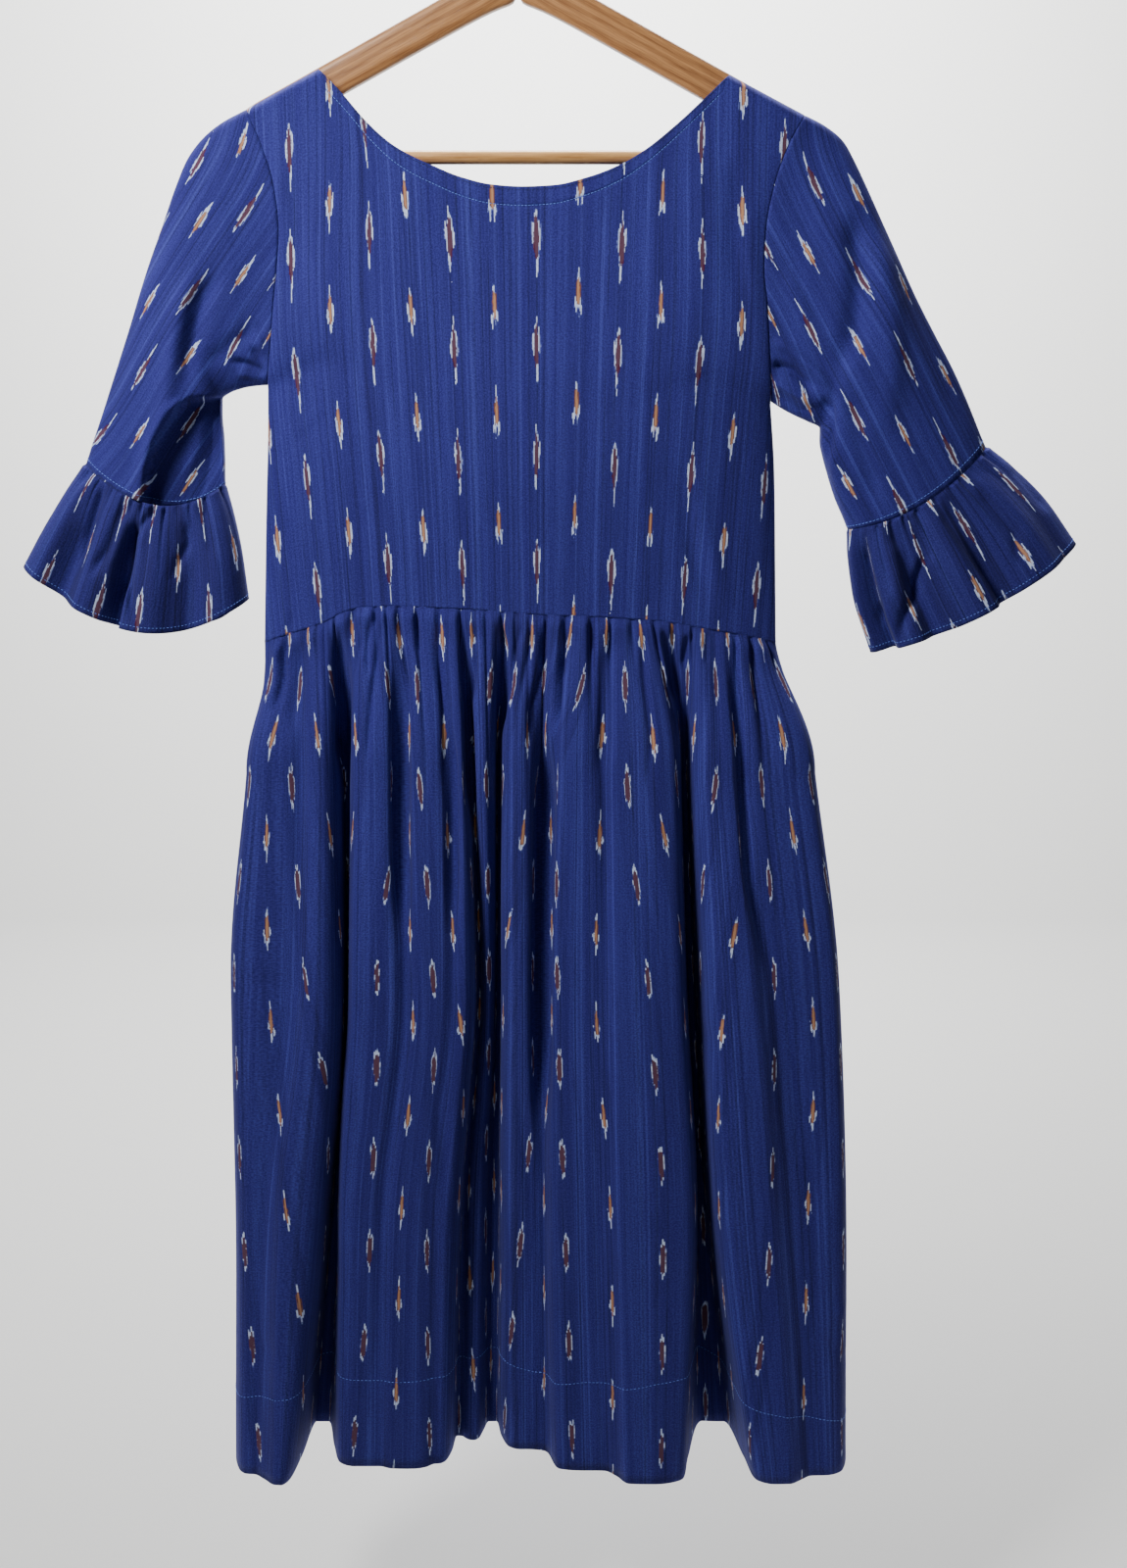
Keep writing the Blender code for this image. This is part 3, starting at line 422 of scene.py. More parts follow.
class ClothPlace:
    """Where on the cloth a point is, in mm, and which yarn, motif column and repeat it is in."""

    def __init__(self, tree, barbed_beyond):
        found = []
        for label in ("cloth", "warp"):
            uv_node = tree.nodes.new("ShaderNodeUVMap")
            uv_node.uv_map = label
            split = tree.nodes.new("ShaderNodeSeparateXYZ")
            tree.links.new(uv_node.outputs[0], split.inputs[0])
            found += [Value(tree, output) for output in split.outputs[:2]]
        self.across, self.up, self.warp, self.spread = found[0] / MM, found[1] / MM, found[2] / MM, found[3]
        self.yarn = (self.across / YARN).floor()
        self.yarn_across = (self.yarn + 0.5) * YARN
        self.column = (self.yarn_across / COLUMN_PITCH + 0.5).floor()
        self.is_gold = (self.column * 0.5 - (self.column * 0.5).floor()) * 2.0
        self.is_barbed = (self.column - 0.5).size().between(barbed_beyond - 0.01, barbed_beyond + 0.01)
        self.raised = self.up + self.is_gold * (0.5 * REPEAT) + (chance(self.column, 3.0) - 0.5) * ROW_JITTER
        self.repeat = (self.raised / REPEAT + 0.5).floor()
        self.weft = noise(self.across / 9.0, self.up / 0.9)
        self.speck = noise(self.across / 0.6, self.up / 0.6, 1.0)

# %% [markdown]
# A motif could be painted as an image, but a formula stays sharp in every crop and never
# shows a pixel. White is where the point is nearer to the middle line than the chart's reach,
# and the yarns are nudged by chance first, so the edge breaks up yarn by yarn.

# %% The motif


def motif(at, charts):
    """Shares of white and of core at a point, how far inside the core it is, and its side."""
    own = chance(at.column, at.repeat)
    slip = (chance(at.yarn, at.repeat, 1.0) - 0.5) * YARN_SLIP
    height = at.raised - at.repeat * REPEAT + (own - 0.5) * 3.0
    mirror = chance(at.column, at.repeat, 5.0).between(0.299, 0.301) * 2.0 - 1.0
    sway = (noise(at.column * 5.0, at.up / 8.0) - 0.5) * 1.4
    side = ((at.yarn_across - at.column * COLUMN_PITCH) * at.spread + sway) * mirror
    side = side / (chance(at.column, at.repeat, 2.0) * 0.25 + 0.85)

    left, right, _ = chosen(height + slip, charts, at.is_gold, at.is_barbed)
    _, _, core = chosen(height + slip * 0.5, charts, at.is_gold, at.is_barbed)
    reach = left + (right - left) * side.between(-0.01, 0.01)
    distance = side.size() + (noise(at.yarn * 0.9, at.up / 3.0) - 0.5) * 0.7
    kept_back = chance(at.yarn, at.repeat, 4.0).between(0.20, 0.24) * 0.6 + 0.4
    outer = distance.between(2.2, 3.0)
    white = (reach - distance).between(-0.1, 0.35) * (reach - 0.05).between(0.0, 0.2)
    white = white * (1.0 - outer + outer * kept_back)
    fork = (0.0 - height).between(8.0, 11.0) * (1.1 - distance).between(0.0, 0.5)
    white = white * (1.0 - fork * at.is_gold * (1.0 - at.is_barbed))
    stain = noise(at.yarn * 1.7, at.up / 2.2, 3.0).between(0.30, 0.52)
    white = white * (stain * 0.2 + 0.8)
    core_here = (core * 1.22 + 0.1 - distance).between(-0.15, 0.15) * (core - 0.05).between(0.0, 0.3)
    core_edge = (core * 0.72 - distance).between(-0.3, 0.3)
    return white, core_here, core_edge, side

# %% The blue ground and the weave


def blue_ground(at, side, darker):
    """The blue warp: pale and dark yarns, dyed bands, thick and thin weft, and specks, with painted shade
    over the whole ground by `darker`.
    """
    thread = (at.warp / YARN).floor()
    pair = (at.warp / (1.7 * YARN)).floor()
    tone = chance(thread, 9.0) * noise(thread * 3.1, at.up / 70.0).between(0.30, 0.62)
    line = chance(pair, 13.0).between(0.86, 0.90) * noise(pair * 1.7, at.up / 120.0).between(0.30, 0.50)
    shade = chance(pair, 17.0).between(0.82, 0.88) * noise(pair * 2.9, at.up / 120.0).between(0.30, 0.50)
    band = noise(at.warp / 6.0, at.up / 500.0, 3.0).between(0.36, 0.64)
    grain = noise(at.warp / 1.2, at.up / 1.3).between(0.34, 0.66)
    wander = (noise(at.across / 3.0, at.up / 120.0) - 0.5) * 5.0
    motif_band = (side.size() + wander).between(10.0, 6.0)
    bright = tone * 0.26 + line * 0.34 + band * 0.16 + (at.weft - 0.5) * 0.4 + (grain - 0.5) * 0.34 + 0.10
    # `darker` is painted shade: it dims and deepens the whole blue ground in place of the shade in the folds.
    bright = bright * (1.0 - motif_band * 0.30) * (1.0 - darker * 0.5)
    colour = (bright + (at.speck - 0.5) * 0.30).mixed(BLUE, BRIGHT_BLUE)
    deep = noise(at.yarn * 2.3, at.up / 90.0).between(0.46, 0.66) * 0.22 + shade * 0.36
    deep = deep + motif_band * 0.12 + (0.5 - grain) * 0.26 + darker
    return (deep + (0.5 - at.speck) * 0.5).mixed(colour, NAVY)


def weave(at, crumpled):
    """Height of the weave: warp ribs, weft picks, slubs and a crinkle."""
    rib = (at.across * (math.tau / YARN)).maths("SINE")
    pick = (at.up * (math.tau / PICK)).maths("SINE")
    crinkle = noise(at.across / 4.0, at.up / 16.0, 3.0)
    slub = noise(at.across / 1.4, at.up / 26.0)
    fine = noise(at.across / 1.7 + at.up / 9.0, at.up / 7.0)
    return (rib * 0.05 + pick * 0.04 + at.weft * 0.12 + slub * 0.22 + crinkle * 0.9 + at.speck * 0.12
            + fine * crumpled)

# %% Ikat cotton


def ikat_cotton(name, charts, barbed_beyond, darker=0.0, crumpled=0.0):
    """Handloom ikat. Gold columns further out than `barbed_beyond` have barbs half-way. `darker` paints shade
    into the blue ground.
    """
    material, tree, shader = new_material(name, 0.85)
    for socket, value in (("Specular IOR Level", 0.25), ("Sheen Weight", 0.10), ("Sheen Roughness", 0.5),
                          ("Sheen Tint", (0.45, 0.50, 1.0, 1.0))):
        shader.inputs[socket].default_value = value
    at = ClothPlace(tree, barbed_beyond)
    white, core, core_edge, side = motif(at, charts)
    colour = white.mixed(blue_ground(at, side, darker), (white * white).mixed(PALE_BLUE, UNDYED))
    dye = at.is_gold.mixed(MAROON, core_edge.mixed(BROWN, GOLD))
    colour = (core * 0.95).mixed(colour, dye)
    finish_surface(tree, shader, colour, weave(at, crumpled), 0.6 * MM, 0.7)
    return material


CHARTS = (MAROON_CHART, GOLD_CHART, BARBED_GOLD_CHART)
SKIRT_CHARTS = (SKIRT_MAROON_CHART, GOLD_CHART, SKIRT_GOLD_CHART)
BODICE_COTTON = ikat_cotton("ikat_cotton_bodice", CHARTS, 3.0, crumpled=0.25)
SLEEVE_COTTON = ikat_cotton("ikat_cotton_sleeve", CHARTS, -1.0, crumpled=0.7)
# The ruffles are darker as a stand-in for the shade that lies in their folds.
RUFFLE_COTTON = ikat_cotton("ikat_cotton_ruffle", CHARTS, -1.0, darker=0.30, crumpled=0.9)
SKIRT_COTTON = ikat_cotton("ikat_cotton_skirt", SKIRT_CHARTS, -1.0, crumpled=0.35)
print("ikat nodes:", len(BODICE_COTTON.node_tree.nodes))

# %% [markdown]
# ## Bodice
#
# A bodice panel is sewn along four sides: waist, side and armhole, shoulder, and the bound
# neck. Blending those four outlines into one another gives the panel as it hangs, and a
# table says how far each height stands off the hanger. The outlines are the CAD's own.

# %% Outlines of the bodice
LEFT_SIDE = ((-206.0, -585.9), (-204.0, -539.6), (-201.3, -480.1), (-198.3, -422.2), (-197.1, -384.6))
RIGHT_SIDE = ((205.0, -585.9), (203.4, -528.7), (200.9, -451.8), (196.6, -397.0))
LEFT_ARMHOLE = (
    (-197.1, -384.6), (-192.3, -353.6), (-189.1, -325.0), (-185.6, -296.7),
    (-183.3, -268.6), (-186.4, -235.7), (-194.5, -208.0), (-206.4, -180.1),
)
RIGHT_ARMHOLE = (
    (196.6, -397.0), (193.6, -360.9), (191.0, -325.0), (187.7, -296.7),
    (188.7, -268.6), (194.7, -235.7), (204.5, -208.0), (217.5, -184.3),
)
LEFT_SHOULDER = ((-206.4, -180.1), (-151.7, -151.9))
RIGHT_SHOULDER = ((160.9, -156.1), (217.5, -184.3))
FRONT_NECK = (
    (-151.7, -151.9), (-133.9, -169.8), (-114.4, -191.8), (-97.7, -206.5), (-83.0, -215.4),
    (-66.0, -223.0), (-43.1, -231.9), (-20.0, -237.2), (3.4, -238.6), (26.9, -237.6),
    (52.9, -231.9), (78.9, -222.0), (95.9, -212.2), (118.7, -194.6), (138.5, -177.0), (160.9, -156.1),
)
FRONT_WAIST = (
    (-206.0, -585.9), (-189.4, -580.0), (-161.3, -571.1), (-151.1, -566.8), (-140.7, -561.0),
    (-125.4, -557.2), (-97.6, -556.0), (-68.3, -556.7), (-39.0, -557.9), (-9.7, -560.4), (22.7, -562.6),
    (60.0, -564.0), (110.1, -567.8), (137.9, -572.4), (169.7, -578.0), (205.0, -585.9),
)
BACK_WAIST = (
    (-206.0, -585.9), (-150.0, -577.0), (-75.0, -571.0), (0.0, -569.5), (80.0, -572.0),
    (150.0, -578.5), (205.0, -585.9),
)
BACK_NECK_DROP = 7.0
BODICE_HEIGHTS = (0.0, 0.18, 0.36, 0.55, 0.75, 0.90, 1.0)
FRONT_DEPTHS = (26.0, 28.0, 31.0, 28.0, 21.0, 17.0, 16.0)
BACK_DEPTHS = (22.0, 23.0, 24.0, 23.0, 19.0, 16.0, 14.0)
UNDERARM_SHARE = 0.49
SHOULDER_SHARE = 0.5 * (1.0 - math.cos(math.pi * 5 / 22))
ARMHOLE_HALF_DEPTH = 13.0
UNDERARM_ROUNDING = 0.22
SHOULDER_ROUNDING = 8.0

# %% Filling a panel between its outlines


def panel_top(shares, back):
    """Shoulder, neck and shoulder, from left to right."""
    neck_share = np.clip((shares - SHOULDER_SHARE) / (1.0 - 2.0 * SHOULDER_SHARE), 0.0, 1.0)
    neck = outline(FRONT_NECK, neck_share)
    if back:
        neck[:, 1] -= BACK_NECK_DROP * np.sin(math.pi * neck_share) ** 2
    left = outline(LEFT_SHOULDER, np.clip(shares / SHOULDER_SHARE, 0.0, 1.0))
    right = outline(RIGHT_SHOULDER, np.clip((shares - 1.0 + SHOULDER_SHARE) / SHOULDER_SHARE, 0.0, 1.0))
    top = np.where((shares < SHOULDER_SHARE)[:, None], left, neck)
    return np.where((shares > 1.0 - SHOULDER_SHARE)[:, None], right, top)


def panel_side(side_seam, armhole, heights):
    low = outline(side_seam, np.clip(heights / UNDERARM_SHARE, 0.0, 1.0))
    high = outline(armhole, np.clip((heights - UNDERARM_SHARE) / (1.0 - UNDERARM_SHARE), 0.0, 1.0))
    return np.where((heights < UNDERARM_SHARE)[:, None], low, high)


def armhole_depth(heights):
    up = np.maximum(0.0, (heights - UNDERARM_SHARE) / (1.0 - UNDERARM_SHARE))
    return ARMHOLE_HALF_DEPTH * round_rise(up / UNDERARM_ROUNDING)


def shoulder_rise(flat):
    """0 on a shoulder seam and 1 well below it."""
    nearest = np.full(flat.shape[:-1], 1e9)
    for start, end in (LEFT_SHOULDER, RIGHT_SHOULDER):
        run = np.subtract(end, start)
        part = np.clip(((flat - start) @ run) / (run @ run), 0.0, 1.0)
        nearest = np.minimum(nearest, np.linalg.norm(flat - start - part[..., None] * run, axis=-1))
    return round_rise(nearest / SHOULDER_ROUNDING)


def bodice_grid(shares, heights, back):
    """Grid of a bodice panel. Heights go from the shoulder down, shares from left to right."""
    bottom = outline(BACK_WAIST if back else FRONT_WAIST, shares)[None]
    top = panel_top(shares, back)[None]
    left = panel_side(LEFT_SIDE, LEFT_ARMHOLE, heights)[:, None]
    right = panel_side(RIGHT_SIDE, RIGHT_ARMHOLE, heights)[:, None]
    s, h = shares[None, :, None], heights[:, None, None]
    corners = ((1 - s) * (1 - h) * bottom[:, :1] + s * (1 - h) * bottom[:, -1:]
               + (1 - s) * h * top[:, :1] + s * h * top[:, -1:])
    flat = (1 - h) * bottom + h * top + (1 - s) * left + s * right - corners
    stand = curve(BODICE_HEIGHTS, BACK_DEPTHS if back else FRONT_DEPTHS, heights)[:, None]
    edge = armhole_depth(heights)[:, None]
    round_off = np.sqrt(np.maximum(0.0, 1.0 - (1.0 - 2.0 * shares[None]) ** 2))
    depth = (edge + (stand - edge) * round_off) * shoulder_rise(flat)
    outward = 1.0 if back else -1.0
    return np.stack([flat[..., 0], outward * (SEAM_GAP / 2 + depth), flat[..., 1]], axis=-1)


check = bodice_grid(np.array([0.0, 0.5, 1.0]), np.array([1.0, 0.0]), False)
print("bodice corners and middle, mm:", np.round(check[:, :, [0, 2]], 1).tolist())

# %% [markdown]
# The yarns run up the panel, and the darts draw them closer at the waist, so the cloth
# coordinate across is the width along each row, set to the pitch that the motif columns
# have at that height. Where the panel turns back to the side seam it follows the true
# length instead, so no motif is smeared. Down the panel the motifs repeat every 82 mm.
#
# The creases are few, because the bodice hangs nearly smooth: two bust darts, a drag line
# to the right hip, the neck's turned and stitched edge, and slight waves.

# %% Bodice front and back
CENTRE_YARN_X = 13.5
PITCH_AT = ((-600.0, 28.4), (-485.0, 29.6), (-360.0, 31.4), (-246.0, 33.4), (-150.0, 34.4))
MOTIF_ROW_Z = -279.8
ROW_SPACING = 82.4
NECK_STITCH_DROP = 14.0
FRONT_DRIFT = ((-7, 20.0), (-6, 17.6), (-5, 12.8), (-4, -1.0), (-3, 8.8), (-2, 2.0), (-1, 6.8), (0, 0.0),
               (1, -2.0), (2, 6.4), (3, 8.4), (4, 13.0), (5, 18.4), (7, 22.0))
BODICE_CREASES = (
    (((-199, -443), (-168, -422), (-138, -402)), 1.8, -1.0),
    (((-196, -437), (-168, -417), (-140, -398)), 3.5, 0.6),
    (((195, -444), (180, -432), (164, -421)), 1.8, -1.0),
    (((193, -438), (180, -427), (166, -417)), 3.5, 0.6),
    (((124, -440), (132, -496), (150, -562)), 7.0, -1.6),
    (((136, -440), (145, -496), (166, -562)), 8.0, 1.3),
    (((-120, -470), (-124, -520), (-128, -566)), 10.0, -0.9),
    (((-60, -250), (-64, -330), (-70, -420)), 14.0, -0.7),
    (((60, -260), (66, -350), (70, -430)), 14.0, -0.7),
    (((168, -215), (164, -270), (170, -330)), 9.0, -1.5),
    (((178, -240), (176, -290), (182, -345)), 7.0, 1.1),
    (((-172, -225), (-168, -275), (-174, -330)), 9.0, -1.2),
    (((-180, -560), (-184, -575), (-186, -590)), 3.0, -1.2),
)
BACK_SHIFT_COLUMNS = 6
BODICE_FRONT_COLUMNS = 170
BODICE_BACK_COLUMNS = 120
MOST_STRETCH = 0.92
SIDE_INSET = 0.06
SEAM_WIDTH = 1.5
print("bodice creases:", len(BODICE_CREASES))

# %% Bodice cloth


def waves(points, size):
    """Slight waves that no pressed cotton is without."""
    x, z = points[..., 0], points[..., 2]
    return size * (0.55 * np.sin(x / 11.0 + z / 90.0) + 0.45 * np.sin(x / 19.0 - z / 60.0 + 1.3)
                   + 0.30 * np.sin(x / 7.0 + z / 35.0 + 0.6))


def bodice_cloth(points, back):
    """Cloth coordinates of a bodice grid, in mm."""
    steps = np.diff(points, axis=1)
    steps = np.maximum(np.abs(steps[..., 0]), MOST_STRETCH * np.linalg.norm(steps, axis=-1))
    across = np.concatenate([np.zeros((len(points), 1)), np.cumsum(steps, axis=1)], axis=1)
    middle = np.array([np.interp(CENTRE_YARN_X, row[:, 0], length) for row, length in zip(points, across)])
    pitch = curve(*zip(*PITCH_AT), points[..., 2])
    columns = (across - middle[:, None]) / pitch
    whole = np.floor(columns)
    drift = 0.0 if back else np.interp(whole + ease(columns - whole, 0.25, 0.75), *zip(*FRONT_DRIFT))
    up = (points[..., 2] - MOTIF_ROW_Z) * REPEAT / ROW_SPACING + drift
    shift = BACK_SHIFT_COLUMNS * COLUMN_PITCH if back else 0.0
    return np.stack([columns * COLUMN_PITCH + shift, up], axis=-1)


def make_bodice(name, back, columns):
    shares = 0.5 * (1.0 - np.cos(math.pi * np.linspace(0.0, 1.0, columns + 1)))
    heights = np.concatenate([np.linspace(1.0, 0.945, 26)[:-1], np.linspace(0.945, 0.03, 72)[:-1],
                              np.linspace(0.03, 0.0, 7)])
    points = bodice_grid(shares, heights, back)
    cloth = bodice_cloth(points, back)
    out = facing(points) * (-1.0 if back else 1.0)
    drop = lengths_down(points)
    under_neck = ease(shares, SHOULDER_SHARE, SHOULDER_SHARE + 0.02) * ease(
        1.0 - shares, SHOULDER_SHARE, SHOULDER_SHARE + 0.02)
    inside = ease(shares, 0.0, SIDE_INSET) * ease(1.0 - shares, 0.0, SIDE_INSET)
    height = waves(points, 0.35) * inside
    if not back:
        height += crease(points, BODICE_CREASES)
    neck_edge = 0.35 * (1.0 - ease(drop, NECK_STITCH_DROP - 1.5, NECK_STITCH_DROP + 0.5))
    neck_edge -= 0.45 * np.exp(-((drop - NECK_STITCH_DROP) / 1.2) ** 2)
    height += neck_edge * under_neck
    height *= ease(shoulder_rise(points[..., [0, 2]]), 0.3, 1.0)
    to_waist = lengths_down(points[::-1])[::-1]
    height += 0.25 * np.exp(-(to_waist / SEAM_WIDTH) ** 2)
    points = points + out * height[..., None]
    return cloth_sheet(name, points, cloth, BODICE_COTTON, flip=back), points


bodice_front, front_points = make_bodice("bodice_front_cloth", False, BODICE_FRONT_COLUMNS)
bodice_back, back_points = make_bodice("bodice_back_cloth", True, BODICE_BACK_COLUMNS)
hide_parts("bodice_front")
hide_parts("bodice_back")
print("bodice front, square metres:", round(sheet_area(bodice_front), 3))

# %% [markdown]
# ## Sleeves
#
# A sleeve is a tube that starts as the armhole and ends as the cuff seam. Each row of the
# table is one ring of it, flattened as it hangs: its outer and inner ends on the front
# view, how deep it is, and how far its middle sags. A cylinder bent by a lattice could stand
# for it, but rings keep the armhole and the cuff exactly on their seams. The grain runs down
# the arm at a slant, so the cloth coordinates are turned by that slant.
#
# The left sleeve has fallen in on itself: below the underarm its front rolls under along
# a long fold, and the cloth right of the fold lies deep behind it. The right sleeve has a
# long soft ridge and a knot of creases under the arm.

# %% Rings of the sleeves
LEFT_SLEEVE = (
    (-206.4, -180.1, -197.1, -384.6, 13.0, 0.0), (-224.0, -188.6, -205.0, -385.0, 15.0, 0.0),
    (-238.7, -198.6, -213.3, -385.8, 17.0, 0.0), (-252.4, -214.4, -221.5, -387.8, 19.0, 0.0),
    (-263.0, -235.7, -228.5, -390.8, 21.0, 0.0), (-276.0, -268.9, -234.0, -396.0, 24.0, 0.0),
    (-291.0, -308.3, -234.4, -410.0, 27.0, 2.0), (-305.8, -348.9, -233.4, -425.0, 28.0, 8.0),
    (-322.4, -392.9, -233.1, -442.0, 26.0, 15.0), (-342.1, -445.0, -233.6, -461.0, 22.0, 24.0),
)
RIGHT_SLEEVE = (
    (217.5, -184.3, 196.6, -397.0, 13.0, 0.0), (232.6, -191.2, 201.5, -400.0, 15.0, 0.0),
    (247.9, -202.8, 207.5, -403.4, 17.0, 0.0), (256.4, -216.6, 217.0, -408.0, 19.0, 0.0),
    (264.2, -231.8, 227.0, -412.6, 21.0, 0.0), (277.2, -258.1, 236.2, -418.0, 24.0, 0.0),
    (292.0, -287.3, 236.4, -428.5, 27.0, 0.0), (306.8, -316.4, 239.0, -440.5, 28.0, 2.0),
    (323.2, -346.0, 243.0, -454.0, 27.0, 5.0), (339.6, -375.6, 248.6, -471.0, 25.0, 8.0),
    (366.6, -432.0, 260.3, -496.2, 22.0, 12.0),
)
SAG_SIDEWAYS = 0.15
LEFT_SLEEVE_CREASES = (
    (((-240, -292), (-258, -325), (-265, -362), (-272, -401), (-286, -437), (-298, -476)), 8.0, 3.5),
    (((-228, -296), (-243, -325), (-252, -358), (-259, -392)), 7.0, -3.5),
    (((-195, -338), (-220, -353), (-245, -375)), 6.0, -2.0),
    (((-275, -255), (-298, -318), (-319, -385), (-331, -430)), 10.0, -1.6),
    (((-192, -379), (-210, -370), (-226, -366)), 2.8, -3.5),
    (((-192, -383), (-209, -379), (-221, -375)), 2.6, 2.5),
    (((-193, -375), (-202, -363), (-208, -355)), 3.0, -2.2),
    (((-204, -391), (-213, -383), (-221, -384)), 3.2, -4.0),
    (((-193, -365), (-202, -348), (-209, -335)), 3.5, 1.5),
    (((-236, -406), (-233, -433), (-232, -461)), 5.0, -2.0),
    (((-248, -402), (-252, -430), (-266, -457)), 5.0, 2.0),
)
RIGHT_SLEEVE_CREASES = (
    (((254, -252), (261, -298), (258, -344), (247, -380)), 10.0, -6.0),
    (((268, -263), (284, -323), (286, -377), (284, -431)), 11.0, 3.0),
    (((254, -391), (265, -431), (285, -479)), 7.0, -2.5),
    (((192, -349), (209, -358), (230, -376), (246, -395)), 3.2, 4.0),
    (((193, -368), (211, -374), (230, -391)), 2.8, -5.0),
    (((196, -381), (215, -392), (234, -403)), 3.0, 4.0),
    (((197, -392), (215, -403), (231, -409)), 2.8, -4.0),
    (((201, -403), (219, -413), (233, -420)), 2.8, 3.0),
    (((237, -391), (240, -417), (238, -450)), 5.0, -5.0),
    (((241, -428), (247, -468), (260, -496)), 5.0, 2.5),
    (((202, -298), (221, -337), (248, -373)), 5.0, 1.6),
    (((293, -287), (322, -359), (351, -424)), 9.0, -1.5),
)
LEFT_ROLL = ((-254.6, -396.3), (-269.1, -409.2), (-282.2, -429.8), (-290.1, -450.5), (-295.6, -478.2))
LEFT_ROLL_TOP = ((-254.6, -396.3), (-231.8, -393.9), (-210.8, -390.5), (-195.0, -386.1))
ROLL_DEPTH = 17.0
print("sleeve rings:", len(LEFT_SLEEVE), len(RIGHT_SLEEVE))

# %% From rings to a tube


def sleeve_rings(side, sections, at, turns):
    """Grid of a sleeve: a ring of points for each place down it."""
    stops = np.arange(len(sections))
    outer_x, outer_z, inner_x, inner_z, half_depth, sag = curve(stops, sections, at).T[..., None]
    up = 0.5 * (1.0 - np.cos(math.tau * turns))[None]
    outward = np.where(turns < 0.5, -1.0, 1.0)[None]
    heights = UNDERARM_SHARE + up[0] * (1.0 - UNDERARM_SHARE)
    hole = outline(LEFT_ARMHOLE if side < 0 else RIGHT_ARMHOLE, up[0])
    hole_depth = armhole_depth(heights) * shoulder_rise(hole) + SEAM_GAP / 2
    bend = hole - (hole[:1] + up[0][:, None] * (hole[up[0].argmax()] - hole[:1]))
    follow = (np.maximum(0.0, 1.0 - at / 4.0) ** 1.5)[:, None]
    bulge = 4.0 * up * (1.0 - up)
    x = inner_x + (outer_x - inner_x) * up + SAG_SIDEWAYS * sag * bulge + bend[None, :, 0] * follow
    z = inner_z + (outer_z - inner_z) * up - sag * bulge + bend[None, :, 1] * follow
    roundness = 2.0 * np.sqrt(np.maximum(0.0, up * (1.0 - up)))
    settle = np.minimum(1.0, at / 2.0)[:, None]
    depth = half_depth * roundness ** 0.8 * settle + hole_depth * (1.0 - settle)
    return np.stack([x, outward * depth, z], axis=-1), up, outward


def roll_under(points, outward):
    """The left sleeve's front drops behind the fold below its underarm."""
    x, z = points[..., 0], points[..., 2]
    edge = np.interp(-z, [-part[1] for part in LEFT_ROLL], [part[0] for part in LEFT_ROLL])
    top = np.interp(x, [part[0] for part in LEFT_ROLL_TOP], [part[1] for part in LEFT_ROLL_TOP])
    right_of = ease(x - edge, -0.5, 3.0)
    below = ease(top - z, -1.0, 3.5)
    lip = 3.0 * np.exp(-((x - edge + 4.0) / 5.0) ** 2) * below
    moved = points[..., 1] + ROLL_DEPTH * right_of * below - lip
    kept = np.minimum(moved, -2.0)
    return np.where(outward < 0, np.maximum(kept, points[..., 1] - 3.0), points[..., 1])

# %% Sleeve cloth
# Motif column and row at (0, 0), and how much each changes per mm across and up.
LEFT_GRAIN = ((1.045, 0.03417, -0.02359), (-4.611, -0.01106, -0.00917))
RIGHT_GRAIN = ((3.000, -0.03289, -0.01842), (-4.435, 0.01052, -0.00906))
LEAST_STEP = 0.75
SLEEVE_ROWS = 110
SLEEVE_ROUND = 200
RING_SPACING = 17.0
BACK_CREASES = 3


def sleeve_cloth(points, grain):
    """Cloth coordinates of a sleeve, unrolled from the middle of its front. The back mirrors it."""
    middle, outer = points.shape[1] // 4, points.shape[1] // 2
    there_and_back = np.where(np.arange(points.shape[1]) < outer, 1.0, -1.0)
    wrapped = np.concatenate([points, points[:, :1]], axis=1)
    seen = wrapped[..., [0, 2]]
    outward = points[:, outer][:, [0, 2]] - points[:, 0][:, [0, 2]]
    outward /= np.linalg.norm(outward, axis=-1, keepdims=True)
    along = np.abs(np.einsum("rki,ri->rk", np.diff(seen, axis=1), outward))
    true = np.linalg.norm(np.diff(wrapped, axis=1), axis=-1)
    run = np.cumsum(np.maximum(along, LEAST_STEP * true) * there_and_back, axis=1)
    run = np.concatenate([np.zeros((len(points), 1)), run], axis=1)
    run -= run[:, middle:middle + 1]
    flat = seen[:, middle:middle + 1] + outward[:, None] * run[..., None]
    column, row = (base + flat @ np.array(slopes) for base, *slopes in grain)
    return np.stack([column * COLUMN_PITCH, row * REPEAT], axis=-1)


def make_sleeve(name, side, sections, creases, grain):
    at = np.linspace(0.0, 1.0, SLEEVE_ROWS) ** 0.9 * (len(sections) - 1)
    turns = np.arange(SLEEVE_ROUND) / SLEEVE_ROUND
    points, up, outward = sleeve_rings(side, sections, at, turns)
    cloth = sleeve_cloth(points, grain)
    out = facing(points, closed=True) * (-1.0 if side < 0 else 1.0)
    front = (outward < 0) * 1.0
    behind = [(route, width, -0.6 * depth) for route, width, depth in creases[:BACK_CREASES]]
    height = 1.25 * crease(points, creases) * front + crease(points, behind) * (1.0 - front)
    ends = (ease(at, 0.0, 0.8) * ease(len(sections) - 1 - at, 0.0, 0.5))[:, None]
    roundness = 2.0 * np.sqrt(np.maximum(0.0, up * (1.0 - up)))
    height = height * ends * ease(roundness, 0.1, 0.7) + waves(points, 0.4) * ends
    height -= 0.3 * np.exp(-(at[:, None] * RING_SPACING / 1.2) ** 2)
    points = points + out * height[..., None]
    if side < 0:
        points[..., 1] += (roll_under(points, outward) - points[..., 1]) * ease(roundness, 0.0, 0.35)
    piece = cloth_sheet(name, points, cloth, SLEEVE_COTTON, flip=side < 0, closed=True)
    return piece, points


